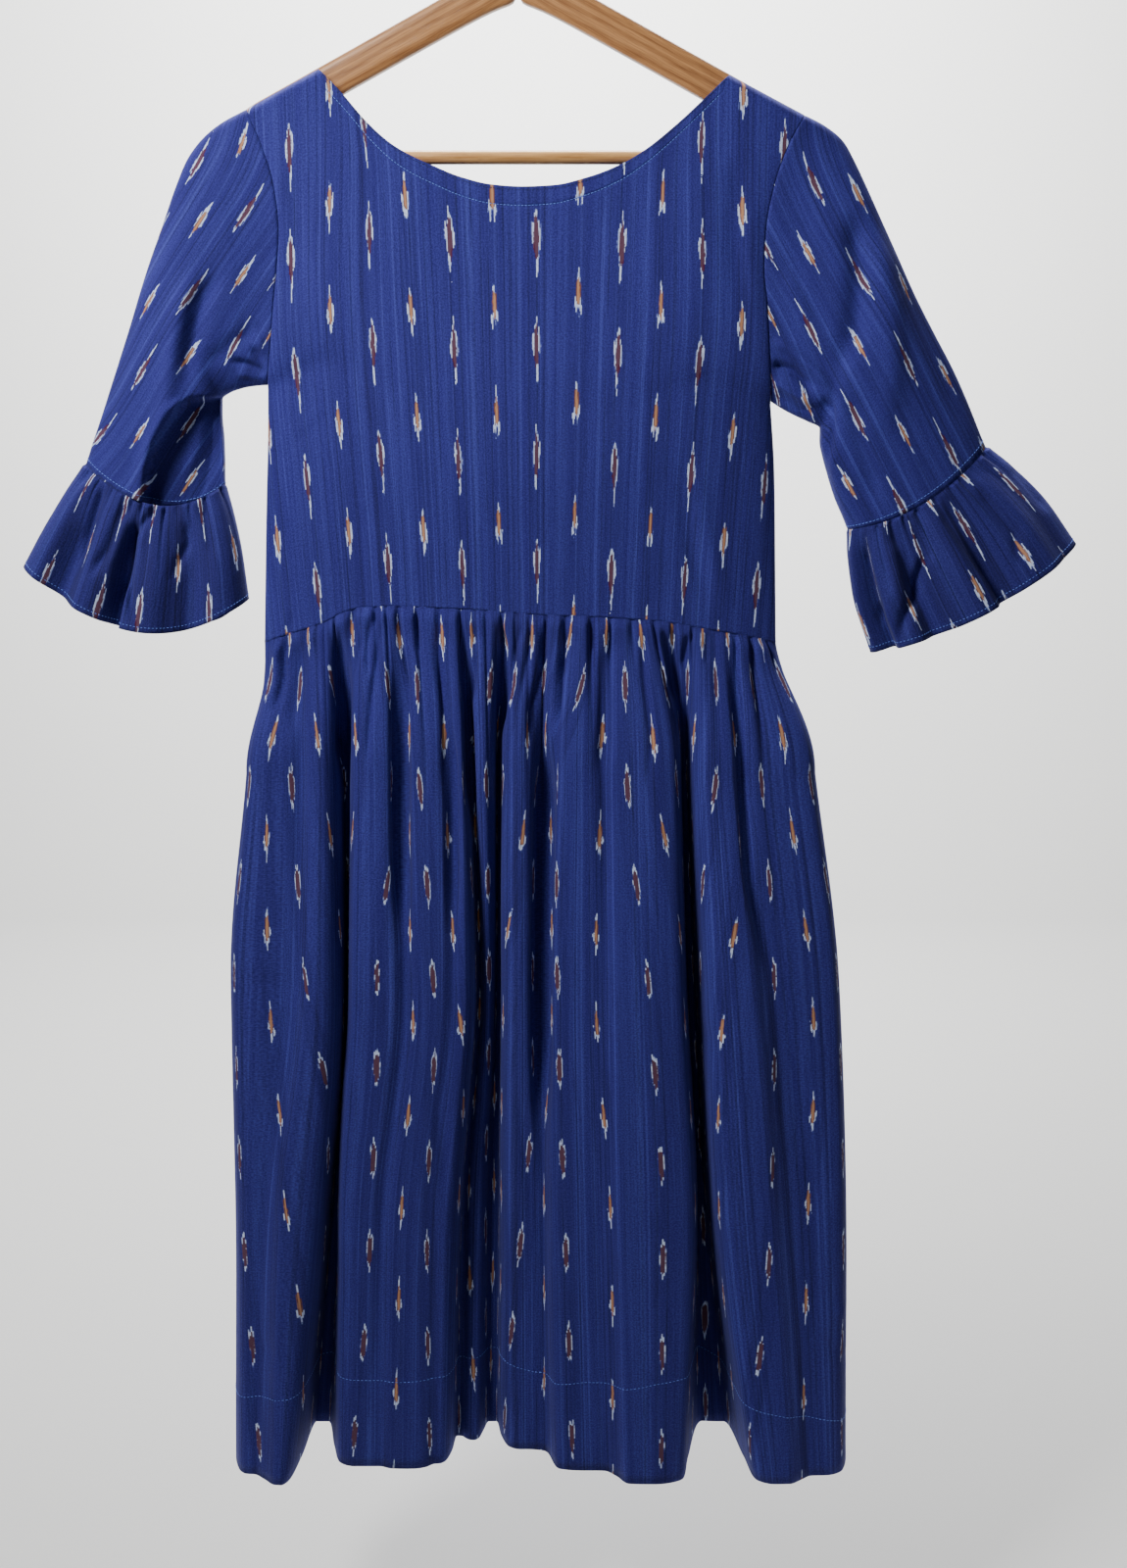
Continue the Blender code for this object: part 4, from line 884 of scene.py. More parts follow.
sleeve_left, left_rings = make_sleeve(
    "sleeve_left_cloth", -1.0, LEFT_SLEEVE, LEFT_SLEEVE_CREASES, LEFT_GRAIN)
sleeve_right, right_rings = make_sleeve(
    "sleeve_right_cloth", 1.0, RIGHT_SLEEVE, RIGHT_SLEEVE_CREASES, RIGHT_GRAIN)
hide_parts("sleeve_left")
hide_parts("sleeve_right")
print("sleeves, square metres:", round(sheet_area(sleeve_left), 3), round(sheet_area(sleeve_right), 3))

# %% [markdown]
# ## Ruffles
#
# Each cuff is a straight strip, gathered to the sleeve by two dozen small gathers. Further
# down these join into four soft folds at the front, and their places were read off the photo.
# The ring where the sleeve ends is opened out towards the hem, the folds go on along the way
# it faces, and the strip's own length round the hem sets the motifs.

# %% Rings, folds and creases of the ruffles
LEFT_RUFFLE = (
    (-342.1, -445.0, -233.6, -461.0, 22.0, 24.0), (-352.0, -459.0, -229.5, -474.0, 24.0, 27.0),
    (-370.0, -489.0, -222.5, -508.0, 27.0, 33.0), (-391.6, -526.1, -217.5, -551.0, 30.0, 37.0),
)
RIGHT_RUFFLE = (
    (366.6, -432.0, 260.3, -496.2, 22.0, 12.0), (379.5, -441.5, 260.0, -510.0, 24.0, 12.0),
    (409.0, -469.0, 265.5, -546.0, 27.0, 13.0), (439.1, -508.6, 281.5, -593.0, 30.0, 12.0),
)

# Place round the ring, from the inner end up the front and down the back, and height.
LEFT_RUFFLE_FOLDS = (
    (0.0, 0.0), (0.085, 6.5), (0.140, -4.0), (0.175, 1.0), (0.215, 8.5), (0.262, 6.0), (0.276, -14.0),
    (0.310, 1.0), (0.345, 5.5), (0.395, -8.5), (0.450, 6.0), (0.50, 2.0), (0.545, -6.0), (0.60, 8.0),
    (0.665, -8.0), (0.73, 8.0), (0.80, -8.0), (0.86, 7.5), (0.93, -5.0), (1.0, 0.0),
)
RIGHT_RUFFLE_FOLDS = (
    (0.0, 0.0), (0.030, 3.0), (0.060, -9.0), (0.080, 6.5), (0.120, 4.0), (0.145, -6.5), (0.200, 3.5),
    (0.245, 7.5), (0.268, 5.0), (0.286, -9.0), (0.33, 0.0), (0.395, 7.0), (0.44, 2.0), (0.50, 2.5),
    (0.545, -6.0), (0.60, 8.0), (0.665, -8.0), (0.73, 8.0), (0.80, -8.0), (0.86, 7.5), (0.93, -5.0),
    (1.0, 0.0),
)
LEFT_RUFFLE_CREASES = (
    (((-323, -457), (-331, -476), (-342, -503), (-350, -536)), 3.0, -4.0),
    (((-332, -455), (-338, -476), (-350, -503)), 6.0, 2.0),
    (((-307, -470), (-310, -483), (-322, -513), (-339, -536)), 4.0, -5.0),
    (((-299, -478), (-309, -494), (-318, -520), (-322, -550)), 6.0, 4.0),
    (((-282, -476), (-301, -500), (-304, -536), (-303, -576)), 3.5, -7.0),
    (((-261, -487), (-259, -506), (-268, -522), (-272, -540)), 3.5, -3.0),
    (((-248, -476), (-246, -489), (-241, -522)), 3.5, -2.5),
)
RIGHT_RUFFLE_CREASES = (
    (((305, -490), (318, -516), (304, -562), (299, -592)), 4.0, -7.0),
    (((276, -500), (273, -520), (286, -554), (281, -581)), 3.5, -4.0),
    (((292, -502), (296, -528), (295, -562)), 6.0, 3.0),
    (((325, -476), (347, -509), (373, -539)), 4.0, -4.0),
    (((353, -463), (386, -498), (392, -531)), 4.0, -3.5),
    (((384, -444), (417, -485)), 5.0, -2.0),
)
RUFFLE_GATHERS = 24
RUFFLE_ROWS = 66
RUFFLE_ROUND = 330
print("folds round each ruffle:", len(LEFT_RUFFLE_FOLDS), len(RIGHT_RUFFLE_FOLDS))

# %% [markdown]
# A gathering thread pulls cloth into broad crowns with narrow grooves between them. They are
# never even, so each has its own width, height and length, from a fixed scatter of numbers.

# %% Gathers


def gather_turns(share, count, seed):
    """Gather number at each share: whole numbers are crowns, unevenly apart."""
    width = 1.0 + 0.55 * (scatter(np.arange(count), seed) - 0.5) * 2.0
    edges = np.concatenate([[0.0], np.cumsum(width)]) / width.sum()
    return curve(edges, np.arange(count + 1), share)


def gather_shape(turns, sharpness=2.2):
    """Broad crowns at whole numbers with narrow grooves between them."""
    return 1.0 - 2.0 * (0.5 - 0.5 * np.cos(math.tau * turns)) ** sharpness


def cuff_seam(side, sections, turns):
    """The sleeve's last ring at even steps of its own length, and how far up each point is."""
    fine_turns = np.linspace(0.0, 1.0, 1201)[:-1]
    seam, seam_up, _ = sleeve_rings(side, sections, np.array([len(sections) - 1.0]), fine_turns)
    closed_seam = np.concatenate([seam[0], seam[0][:1]])
    closed_up = np.concatenate([seam_up[0], seam_up[0][:1]])
    lengths = lengths_along(closed_seam)
    at = turns * lengths[-1]
    ring = np.stack([np.interp(at, lengths, closed_seam[:, i]) for i in range(3)], axis=-1)
    return ring, np.interp(at, lengths, closed_up)


def cuff_gathers(side, turns, fall):
    """Height of the small gathers at the cuff, each with its own size and length."""
    number = gather_turns(turns, RUFFLE_GATHERS, side)
    own = scatter(np.round(number) % RUFFLE_GATHERS, 2.0 + side)
    reach = 0.14 + 0.46 * own ** 2
    fade = np.exp(-(fall[:, None] / reach[None]) ** 1.6)
    rise = 0.3 + 2.6 * ease(fall, 0.0, 0.07)[:, None]
    return gather_shape(number, 3.0)[None] * rise * fade * (0.15 + 1.15 * own[None] ** 2)

# %% Ruffle cloth


def make_ruffle(name, side, sleeve_sections, sections, folds, creases, shift):
    turns = np.arange(RUFFLE_ROUND) / RUFFLE_ROUND
    seam, up = cuff_seam(side, sleeve_sections, turns)
    stops = np.arange(len(sections))
    at = np.linspace(0.0, 1.0, RUFFLE_ROWS) ** 1.25 * stops[-1]
    outer_x, outer_z, inner_x, inner_z, half_depth, sag = curve(stops, sections, at).T[..., None]
    bulge = 4.0 * up * (1.0 - up)
    start = sections[0]
    stray_x = seam[:, 0] - (start[2] + (start[0] - start[2]) * up + SAG_SIDEWAYS * start[5] * bulge)
    stray_z = seam[:, 2] - (start[3] + (start[1] - start[3]) * up - start[5] * bulge)
    x = inner_x + (outer_x - inner_x) * up + SAG_SIDEWAYS * sag * bulge + stray_x
    z = inner_z + (outer_z - inner_z) * up - sag * bulge + stray_z
    points = np.stack([x, seam[:, 1] * half_depth / start[4], z], axis=-1)
    out = facing(points, closed=True) * (-1.0 if side < 0 else 1.0)
    fall = at / stops[-1]
    big = curve(*zip(*folds), turns)[None] * ease(fall, 0.04, 0.85)[:, None]
    front = ease(0.5 - np.abs(turns - 0.25) * 2.0, 0.0, 0.08)[None]
    height = 1.15 * big + cuff_gathers(side, turns, fall) + crease(points, creases) * front
    points = points + out * height[..., None]
    hem_round = lengths_along(np.concatenate([points[-1], points[-1][:1]]))
    down = lengths_down(points)
    down = np.concatenate([down, down[:, :1]], axis=1)
    cloth = np.stack([np.broadcast_to(hem_round, down.shape), -down], axis=-1) + np.array(shift)
    piece = cloth_sheet(name, points, cloth, RUFFLE_COTTON, flip=side < 0, closed=True)
    return piece, points, hem_round[-1]


ruffle_left, left_fall, left_round = make_ruffle(
    "ruffle_left_cloth", -1.0, LEFT_SLEEVE, LEFT_RUFFLE, LEFT_RUFFLE_FOLDS,
    LEFT_RUFFLE_CREASES, (12.0, 10.0))
ruffle_right, right_fall, right_round = make_ruffle(
    "ruffle_right_cloth", 1.0, RIGHT_SLEEVE, RIGHT_RUFFLE, RIGHT_RUFFLE_FOLDS,
    RIGHT_RUFFLE_CREASES, (20.0, 38.0))
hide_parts("ruffle_left")
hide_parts("ruffle_right")
print("ruffle hems, mm round:", round(left_round), round(right_round))

# %% [markdown]
# ## Skirt
#
# The skirt is the largest piece: nine tenths of a metre of cloth on a 41 cm waist seam at the
# front, and as much behind. It could be drawn as one pleated tube, but no two of its folds are
# alike, so each is placed one by one. Its gathers open into eleven folds at the front, and three
# deep gullies between them go nearly back to the middle of the dress.
#
# Each fold is a row of the table: its left edge, right edge, how far its crown stands out
# and how far the gully after it does, at four heights. A smooth section goes through these
# at every height, and the small gathers are added near the waist, each with its own width,
# height and length.

# %% Folds of the skirt
WAIST_LEFT = -206.0
WAIST_RIGHT = 205.0
HEM_Z = -1280.0
HEM_LIFT = 18.0
HEM_LIFT_STARTS = -1065.0
LIP_ROUNDING = 7.0
LIP_SHARE = 0.25
LIP_HEIGHT = 0.90
SIDE_TUCK = 4.0
TUCKED_UNDER = 0.5
TUCKED_UP = 0.6
GULLY_FLOOR_SHARE = 0.30
SIDE_SPOTS = 3.0
FOLDS_FULL_AT = -690.0
LEVELS = (-690.0, -860.0, -1065.0, HEM_Z)

# On the waist seam, then left, right, crown and gully at hip, thigh, knee and hem, and
# whether the gully after the fold is a deep one.
FRONT_FOLDS = (
    ((-206, -175), (-221, -178, 34, 31), (-238, -184, 47, 49), (-240, -206, 56, 61), (-246, -218, 62, 70), 0),
    ((-175, -147), (-172, -145, 40, 8), (-178, -146, 57, 6), (-203, -163, 68, 6), (-212, -189, 78, 6), 1),
    ((-130, -98), (-137, -98, 42, 33), (-141, -97, 52, 45), (-155, -118, 54, 51), (-162, -124, 53, 53), 0),
    ((-98, -56), (-91, -55, 44, 39), (-89, -56, 52, 48), (-112, -78, 54, 52), (-118, -84, 56, 54), 0),
    ((-54, -43), (-53, -40, 43, 22), (-53, -38, 50, 14), (-75, -53, 50, 13), (-80, -61, 50, 20), 1),
    ((-38, -20), (-36, -21, 40, 12), (-32, -23, 27, 8), (-46, -31, 20, 6), (-50, -36, 24, 6), 1),
    ((-10, 14), (-15, 13, 43, 27), (-16, 13, 47, 37), (-19, 13, 38, 37), (-19, 13, 34, 36), 0),
    ((32, 64), (23, 64, 45, 40), (18, 66, 52, 53), (20, 70, 56, 60), (24, 76, 58, 65), 0),
    ((67, 110), (68, 128, 45, 8), (71, 134, 60, 6), (75, 145, 68, 6), (82, 141, 76, 6), 1),
    ((135, 168), (136, 175, 40, 34), (145, 192, 60, 52), (158, 212, 68, 61), (188, 230, 76, 70), 0),
    ((171, 205), (179, 237, 33, 0), (198, 260, 45, 0), (218, 271, 54, 0), (235, 276, 64, 0), 0),
)
BACK_FOLDS = (
    ((-206, -168), (-221, -176, 30, 24), (-238, -190, 40, 34), (-240, -200, 48, 44), (-246, -206, 54, 48), 0),
    ((-164, -136), (-170, -136, 34, 7), (-182, -138, 44, 6), (-194, -146, 52, 6), (-200, -158, 60, 6), 1),
    ((-122, -86), (-128, -90, 36, 29), (-130, -88, 44, 38), (-136, -92, 50, 44), (-136, -94, 54, 50), 0),
    ((-82, -42), (-84, -46, 36, 8), (-82, -42, 45, 7), (-86, -44, 50, 6), (-88, -50, 56, 6), 1),
    ((-28, 12), (-37, 6, 37, 31), (-34, 10, 44, 39), (-34, 12, 48, 43), (-28, 16, 52, 46), 0),
    ((18, 58), (12, 56, 37, 9), (16, 62, 46, 7), (18, 68, 54, 6), (22, 72, 60, 6), 1),
    ((70, 104), (65, 100, 36, 30), (70, 108, 44, 38), (78, 118, 50, 43), (90, 128, 54, 46), 0),
    ((108, 142), (106, 146, 36, 7), (114, 158, 46, 6), (124, 172, 54, 6), (134, 180, 62, 6), 1),
    ((156, 178), (156, 190, 34, 28), (168, 208, 42, 36), (184, 222, 48, 42), (200, 232, 52, 46), 0),
    ((182, 205), (196, 237, 30, 0), (214, 260, 38, 0), (228, 271, 46, 0), (238, 276, 52, 0), 0),
)

# Which motif columns lie on each front fold: the column numbers at its left and right
# edge, at waist, hip, thigh, knee and hem.
FRONT_FOLD_COLUMNS = (
    ((-0.8, 2.0), (-0.7, 2.2), (-0.6, 1.6), (-0.6, 0.55), (-0.9, 0.03)),
    ((2.05, 4.4), (2.45, 3.6), (1.8, 2.95), (0.65, 2.0), (0.2, 1.1)),
    ((5.0, 6.6), (4.6, 6.05), (5.1, 6.5), (4.85, 6.2), (5.2, 6.5)),
    ((6.65, 9.2), (7.2, 9.2), (6.9, 8.8), (6.45, 8.0), (6.7, 7.8)),
    ((9.3, 10.2), (9.4, 10.5), (8.95, 9.7), (8.15, 9.1), (7.95, 8.6)),
    ((10.9, 12.1), (11.4, 12.6), (11.5, 12.5), (11.0, 12.0), (10.5, 11.5)),
    ((13.1, 15.3), (13.9, 15.6), (14.8, 15.8), (14.95, 16.5), (15.8, 16.95)),
    ((16.4, 18.8), (17.7, 19.0), (17.1, 19.15), (17.2, 18.9), (17.3, 19.0)),
    ((19.0, 22.4), (19.2, 22.6), (19.25, 21.5), (19.05, 21.4), (19.2, 21.3)),
    ((24.3, 27.4), (24.8, 27.0), (25.95, 27.65), (26.4, 28.25), (27.5, 28.9)),
    ((27.5, 30.9), (27.3, 30.7), (27.8, 30.4), (28.45, 30.6), (29.05, 30.7)),
)
SKIRT_ROWS = ((-1330.0, -1.0), (-1249.6, 0.0), (-1004.7, 3.0), (-775.4, 6.0), (-618.2, 8.0), (-540.0, 9.0))


print("folds, front and back:", len(FRONT_FOLDS), len(BACK_FOLDS))

# %% From folds to sections


def fold_section(folds, level):
    """Spots across all folds at one level, and the spots that each fold's edges lie between."""
    spots, edges = [], []
    for index, fold in enumerate(folds):
        left, right, crown, gully = fold[1 + level]
        first, last = index == 0, index == len(folds) - 1
        before = 0.0 if first else folds[index - 1][1 + level][3]
        edge = min(LIP_ROUNDING, LIP_SHARE * (right - left))
        if first:
            spots.append((left + SIDE_TUCK, 0.0))
        if first or folds[index - 1][5]:
            spots.append((left, 0.5 * (crown + before)))
        edges.append((len(spots) - 1, len(spots), left))
        spots.append((left + edge, before + (crown - before) * LIP_HEIGHT))
        spots.append((0.5 * (left + right), crown))
        spots.append((right - edge, gully + (crown - gully) * LIP_HEIGHT))
        if last:
            spots += [(right, 0.5 * crown), (right - SIDE_TUCK, 0.0)]
        elif fold[5]:
            next_left = folds[index + 1][1 + level][0]
            width = next_left - right
            spots.append((right, 0.5 * (crown + gully)))
            spots.append((right + width * GULLY_FLOOR_SHARE, gully))
            spots.append((next_left - width * GULLY_FLOOR_SHARE, gully))
        else:
            spots.append((0.5 * (right + folds[index + 1][1 + level][0]), gully))
        lip = len(spots) - (3 if last else 4 if fold[5] else 2)
        edges.append((lip, lip + 1, right))
    return np.array(spots, float), edges


def seam_shares(folds):
    """Where each spot belongs on the waist seam, as a share of its width."""
    places = []
    for index, fold in enumerate(folds):
        start, end = fold[0]
        first, last = index == 0, index == len(folds) - 1
        if first:
            places.append(start)
        if first or folds[index - 1][5]:
            places.append(start + 0.10 * (end - start))
        places += [start + share * (end - start) for share in (0.22, 0.5, 0.78)]
        gap = 0.0 if last else folds[index + 1][0][0] - end
        if last:
            places += [end - 0.10 * (end - start), end]
        elif fold[5]:
            places += [end + share * gap for share in (-0.05, 0.3, 0.7)]
        else:
            places.append(end + 0.5 * gap)
    return (np.array(places) - WAIST_LEFT) / (WAIST_RIGHT - WAIST_LEFT)

# %% [markdown]
# The grid follows the cloth: a column of the mesh is two or three yarns, and it keeps its
# number from waist to hem. That is why the motif columns crowd together at the waist and
# spread at the hem, as they do on the real skirt.

# %% Gathers and creases of the skirt
SKIRT_GATHERS = 30
GATHER_SEED = 4.0
HEM_DEPTH = 72.0
SMOOTH_OVER = 9
FRONT_SKIRT_CREASES = (
    (((-184, -577), (-190, -597), (-189, -614), (-196, -634), (-201, -646)), 2.6, -4.5),
    (((-191, -583), (-195, -602), (-194, -619), (-200, -636)), 4.0, 2.5),
    (((-177, -577), (-175, -608), (-180, -634), (-182, -662)), 6.0, -3.5),
    (((-144, -566), (-143, -597), (-141, -634), (-143, -700)), 4.0, -7.0),
    (((-129, -561), (-126, -585), (-134, -614)), 2.2, -2.5),
    (((-116, -561), (-121, -588), (-120, -614)), 2.2, -3.0),
    (((-108, -564), (-114, -605), (-118, -634), (-122, -690)), 2.6, -3.5),
    (((-92, -560), (-92, -611), (-95, -668), (-96, -740), (-94, -835)), 6.0, -8.0),
    (((-82, -560), (-81, -597)), 2.2, -2.2),
    (((-67, -561), (-65, -597), (-59, -634), (-60, -711)), 3.5, -3.5),
    (((-46, -560), (-44, -597), (-41, -654), (-39, -741)), 3.2, -5.5),
    (((-36, -567), (-35, -591), (-39, -634)), 3.0, -4.0),
    (((-54, -640), (-53, -700), (-54, -830)), 5.0, -4.0),
    (((-16, -561), (-13, -591), (-14, -622), (-17, -662)), 3.0, -5.5),
    (((2, -567), (-5, -597), (-10, -634)), 2.4, -3.0),
    (((9, -570), (5, -599), (0, -631)), 2.4, -3.0),
    (((18, -566), (19, -597), (10, -634), (7, -671)), 3.0, -4.0),
    (((28, -640), (20, -700), (18, -780), (16, -854), (16, -1010)), 7.0, -9.0),
    (((41, -566), (36, -594), (31, -611), (27, -659)), 3.0, -5.0),
    (((57, -567), (58, -594)), 2.4, -2.0),
    (((75, -568), (68, -605), (66, -662), (61, -700)), 6.0, -4.0),
    (((97, -570), (98, -611), (104, -659), (101, -700)), 2.8, -3.0),
    (((112, -570), (121, -605), (126, -636)), 4.5, -6.0),
    (((133, -576), (129, -608)), 2.4, -3.0),
    (((148, -576), (148, -605)), 2.4, -2.0),
    (((168, -581), (171, -622), (176, -677), (183, -767), (203, -865)), 5.0, -6.5),
    (((181, -588), (190, -634), (204, -700)), 5.0, -2.0),
    (((-235, -861), (-189, -860), (-146, -852)), 5.0, -1.8),
    (((-235, -872), (-190, -870), (-150, -862)), 6.0, 1.0),
    (((-236, -964), (-208, -968), (-182, -970)), 5.0, -1.6),
    (((-238, -1178), (-204, -1165), (-177, -1155)), 6.0, -1.6),
    (((150, -885), (160, -931), (174, -978)), 5.0, -2.5),
    (((160, -880), (170, -930), (186, -978)), 6.0, 1.5),
    (((159, -1005), (170, -1031), (181, -1026)), 4.0, -1.8),
    (((164, -1050), (171, -1106), (182, -1166)), 4.5, -1.8),
    (((252, -1155), (262, -1175), (274, -1190)), 4.0, -2.2),
    (((247, -1144), (259, -1140), (272, -1131)), 4.0, 1.8),
    (((-73, -930), (-64, -985), (-62, -1050)), 6.0, -2.0),
    (((-2, -942), (2, -1001), (11, -1065)), 6.0, -2.0),
    (((40, -1120), (52, -1180), (50, -1262)), 9.0, -1.8),
    (((112, -1090), (108, -1170), (116, -1250)), 10.0, -1.6),
    (((-140, -900), (-146, -1010), (-150, -1120)), 7.0, 1.4),
    (((220, -900), (232, -1000), (246, -1110)), 9.0, -2.2),
)


print("skirt creases:", len(FRONT_SKIRT_CREASES))

# %% Lengths along a section


def between_levels(sections, z):
    """Section at any height, by a smooth curve down through the given levels."""
    return curve([-level for level in LEVELS], np.stack(sections).reshape(len(LEVELS), -1), -z)


def section_length(spots, numbers):
    """Length along a section at fractional spot numbers."""
    return curve(np.arange(len(spots)), lengths_along(spots), numbers)


def fine_section(spots, numbers):
    """Smooth section through the spots, read at fractional spot numbers."""
    return curve(lengths_along(spots), spots, section_length(spots, numbers))


def edge_lengths(spots, edges):
    """Length along a section at each fold's left and right edge."""
    found = []
    for low, high, x in edges:
        numbers = np.linspace(low, high, 25)
        places = fine_section(spots, numbers)[:, 0]
        order = np.argsort(places)
        found.append(np.interp(x, places[order], section_length(spots, numbers)[order]))
    return np.array(found)

# %% Motif columns down the skirt


def motif_columns(folds, fold_columns, read, shares, spot):
    """Motif column of each mesh column, at the waist and at each level."""
    numbers = np.arange(len(shares))
    if fold_columns is None:
        at_hem = lengths_along(read[-1][0]) / COLUMN_PITCH
        at_waist = (shares - shares[0]) / (shares[-1] - shares[0]) * at_hem[-1]
        return [curve(numbers, at_waist + (at_hem - at_waist) * part, spot)
                for part in (0.0, 0.35, 0.7, 0.95, 1.0)]
    seam_x = WAIST_LEFT + (WAIST_RIGHT - WAIST_LEFT) * curve(numbers, shares, spot)
    known = [np.array([fold[level] for fold in fold_columns]).ravel() for level in range(len(LEVELS) + 1)]
    seam_stops = np.array([fold[0] for fold in folds], float).ravel()
    tables = [curve(seam_stops + 0.1 * np.arange(len(seam_stops)), known[0], seam_x)]
    for (spots, edges), column in zip(read, known[1:]):
        run = section_length(spots, spot)
        stops = edge_lengths(spots, edges)
        off_ends = np.minimum(0.0, run - stops[0]) + np.maximum(0.0, run - stops[-1])
        tables.append(curve(stops, column, run) + off_ends / COLUMN_PITCH)
    return tables

# %% [markdown]
# Above the hip the folds are still opening out of the seam, and below it they are full. The
# two parts are worked out apart and joined row to row.

# %% Upper and lower skirt


def upper_skirt(share, at_hip, back, full):
    """The skirt from its waist seam down to where its folds are full."""
    share_fine = np.linspace(0.0, 1.0, 801)
    waist = bodice_grid(share_fine, np.array([0.0]), back)[0]
    seam = np.stack([np.interp(share, share_fine, waist[:, i]) for i in range(3)], axis=-1)
    seam[:, 1] -= np.sign(seam[:, 1]) * TUCKED_UNDER
    seam[:, 2] += TUCKED_UP
    steep = 1.4 + 1.0 * ease(0.12 - share, 0.0, 0.12)
    open_up = np.sin(0.5 * math.pi * full)[:, None] ** steep
    hip_y = (1.0 if back else -1.0) * (SEAM_GAP / 2 + at_hip[:, 1])
    x = seam[:, 0] + (at_hip[:, 0] - seam[:, 0]) * open_up
    y = seam[:, 1] + (hip_y - seam[:, 1]) * open_up
    z = seam[:, 2] + (FOLDS_FULL_AT - seam[:, 2]) * full[:, None]
    return np.stack([x, y, z], axis=-1)


def lower_skirt(fine, spot, back, z):
    """The skirt's full folds down to the hem, which rises a little in the hollows."""
    folded = between_levels(fine, z).reshape(len(z), len(spot), 2)
    crown = fine[-1][:, 1].max()
    hollow = np.maximum(0.0, (crown - folded[..., 1]) / crown) ** 2
    down = np.clip((HEM_LIFT_STARTS - z) / (HEM_LIFT_STARTS - HEM_Z), 0.0, 1.0)[:, None]
    from_side = np.minimum(1.0, np.minimum(spot, spot[-1] - spot) / SIDE_SPOTS)
    lift = HEM_LIFT * hollow * down * from_side
    y = (1.0 if back else -1.0) * (SEAM_GAP / 2 + folded[..., 1])
    return np.stack([folded[..., 0], y, z[:, None] + lift], axis=-1)


def skirt_grid(folds, fold_columns, back, columns, upper_rows, lower_rows):
    """Grid of a skirt panel, its motif columns, and each column's share of the seam and yarn."""
    read = [fold_section(folds, level) for level in range(len(LEVELS))]
    shares = seam_shares(folds)
    numbers = np.arange(len(shares))
    hem_lengths = lengths_along(read[-1][0])
    even = 0.5 * (shares - shares[0]) / (shares[-1] - shares[0]) + 0.5 * hem_lengths / hem_lengths[-1]
    spot = curve(even, numbers, np.linspace(0.0, 1.0, columns + 1))
    fine = [fine_section(spots, spot) for spots, _ in read]
    share = curve(numbers, shares, spot)
    tables = motif_columns(folds, fold_columns, read, shares, spot)
    full = np.linspace(0.0, 1.0, upper_rows) ** 1.5
    lower_z = np.linspace(FOLDS_FULL_AT, HEM_Z, lower_rows + 1)[1:]
    points = np.concatenate([upper_skirt(share, fine[0], back, full), lower_skirt(fine, spot, back, lower_z)])
    upper_columns = tables[0] + (tables[1] - tables[0]) * ease(full)[:, None]
    lower_columns = curve([-level for level in LEVELS], np.stack(tables[1:]), -lower_z)
    yarns = np.interp(spot, numbers, hem_lengths)
    return points, np.concatenate([upper_columns, lower_columns]), share, yarns

# %% Skirt cloth


def small_gathers(share, drop, seed):
    """Height of the gathers under the waist seam, each with its own size and length."""
    number = gather_turns(share, SKIRT_GATHERS, seed)
    own = scatter(np.round(number), seed + 1.0)
    reach = 16.0 + 120.0 * scatter(np.round(number), seed + 2.0) ** 2
    fade = np.exp(-(drop / reach) ** 1.7)
    rise = 0.4 + 2.6 * ease(drop, 0.0, 9.0)
    ends = ease(share, 0.0, 0.03) * ease(1.0 - share, 0.0, 0.03)
    return gather_shape(number, 6.0) * rise * fade * (0.30 + 1.1 * own ** 2) * ends


def drawn_apart(points, column):
    """How far the cloth is drawn apart across its columns, smoothed along each row."""
    true = np.linalg.norm(np.gradient(points, axis=1), axis=-1)
    apart = true / np.maximum(np.gradient(column, axis=1) * COLUMN_PITCH, 0.02)
    window = np.ones(2 * SMOOTH_OVER + 1) / (2 * SMOOTH_OVER + 1)
    smooth = [np.convolve(np.pad(row, SMOOTH_OVER, mode="edge"), window, "valid") for row in apart]
    return np.clip(np.stack(smooth), 0.5, 2.2)


def make_skirt(name, folds, fold_columns, creases, back, **counts):
    points, column, share, yarns = skirt_grid(folds, fold_columns, back, **counts)
    drop = points[0, :, 2] - points[..., 2]
    out = facing(points) * (-1.0 if back else 1.0)
    height = small_gathers(share, drop, GATHER_SEED + (1.0 if back else 0.0))
    height += 1.2 * np.exp(-((drop - 10.0) / 9.0) ** 2) + crease(points, creases)
    height += waves(points, 0.55) * ease(drop, 30.0, 200.0)
    height += 0.30 * ease(HEM_Z + HEM_DEPTH - points[..., 2], -1.5, 1.5)
    sides = ease(share, 0.0, 0.02) * ease(1.0 - share, 0.0, 0.02)
    points = points + out * (height * sides)[..., None]
    rows = curve(*zip(*SKIRT_ROWS), points[..., 2])
    cloth = np.stack([column * COLUMN_PITCH, rows * REPEAT], axis=-1)
    piece = cloth_sheet(name, points, cloth, SKIRT_COTTON, flip=back, yarns=yarns + 0.0 * column,
                        spread=drawn_apart(points, column))
    return piece, points


skirt_front, skirt_points = make_skirt(
    "skirt_front_cloth", FRONT_FOLDS, FRONT_FOLD_COLUMNS, FRONT_SKIRT_CREASES, False,
    columns=500, upper_rows=34, lower_rows=62)
skirt_back, skirt_back_points = make_skirt(
    "skirt_back_cloth", BACK_FOLDS, None, (), True, columns=380, upper_rows=28, lower_rows=50)
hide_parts("skirt_front")
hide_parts("skirt_back")
for piece, points in ((skirt_front, skirt_points), (skirt_back, skirt_back_points)):
    print(piece.name, "square metres:", round(sheet_area(piece), 3),
          "hem along the cloth, mm:", round(lengths_along(points[-1])[-1]),
          "down its middle, mm:", round(lengths_along(points[:, points.shape[1] // 2])[-1]))

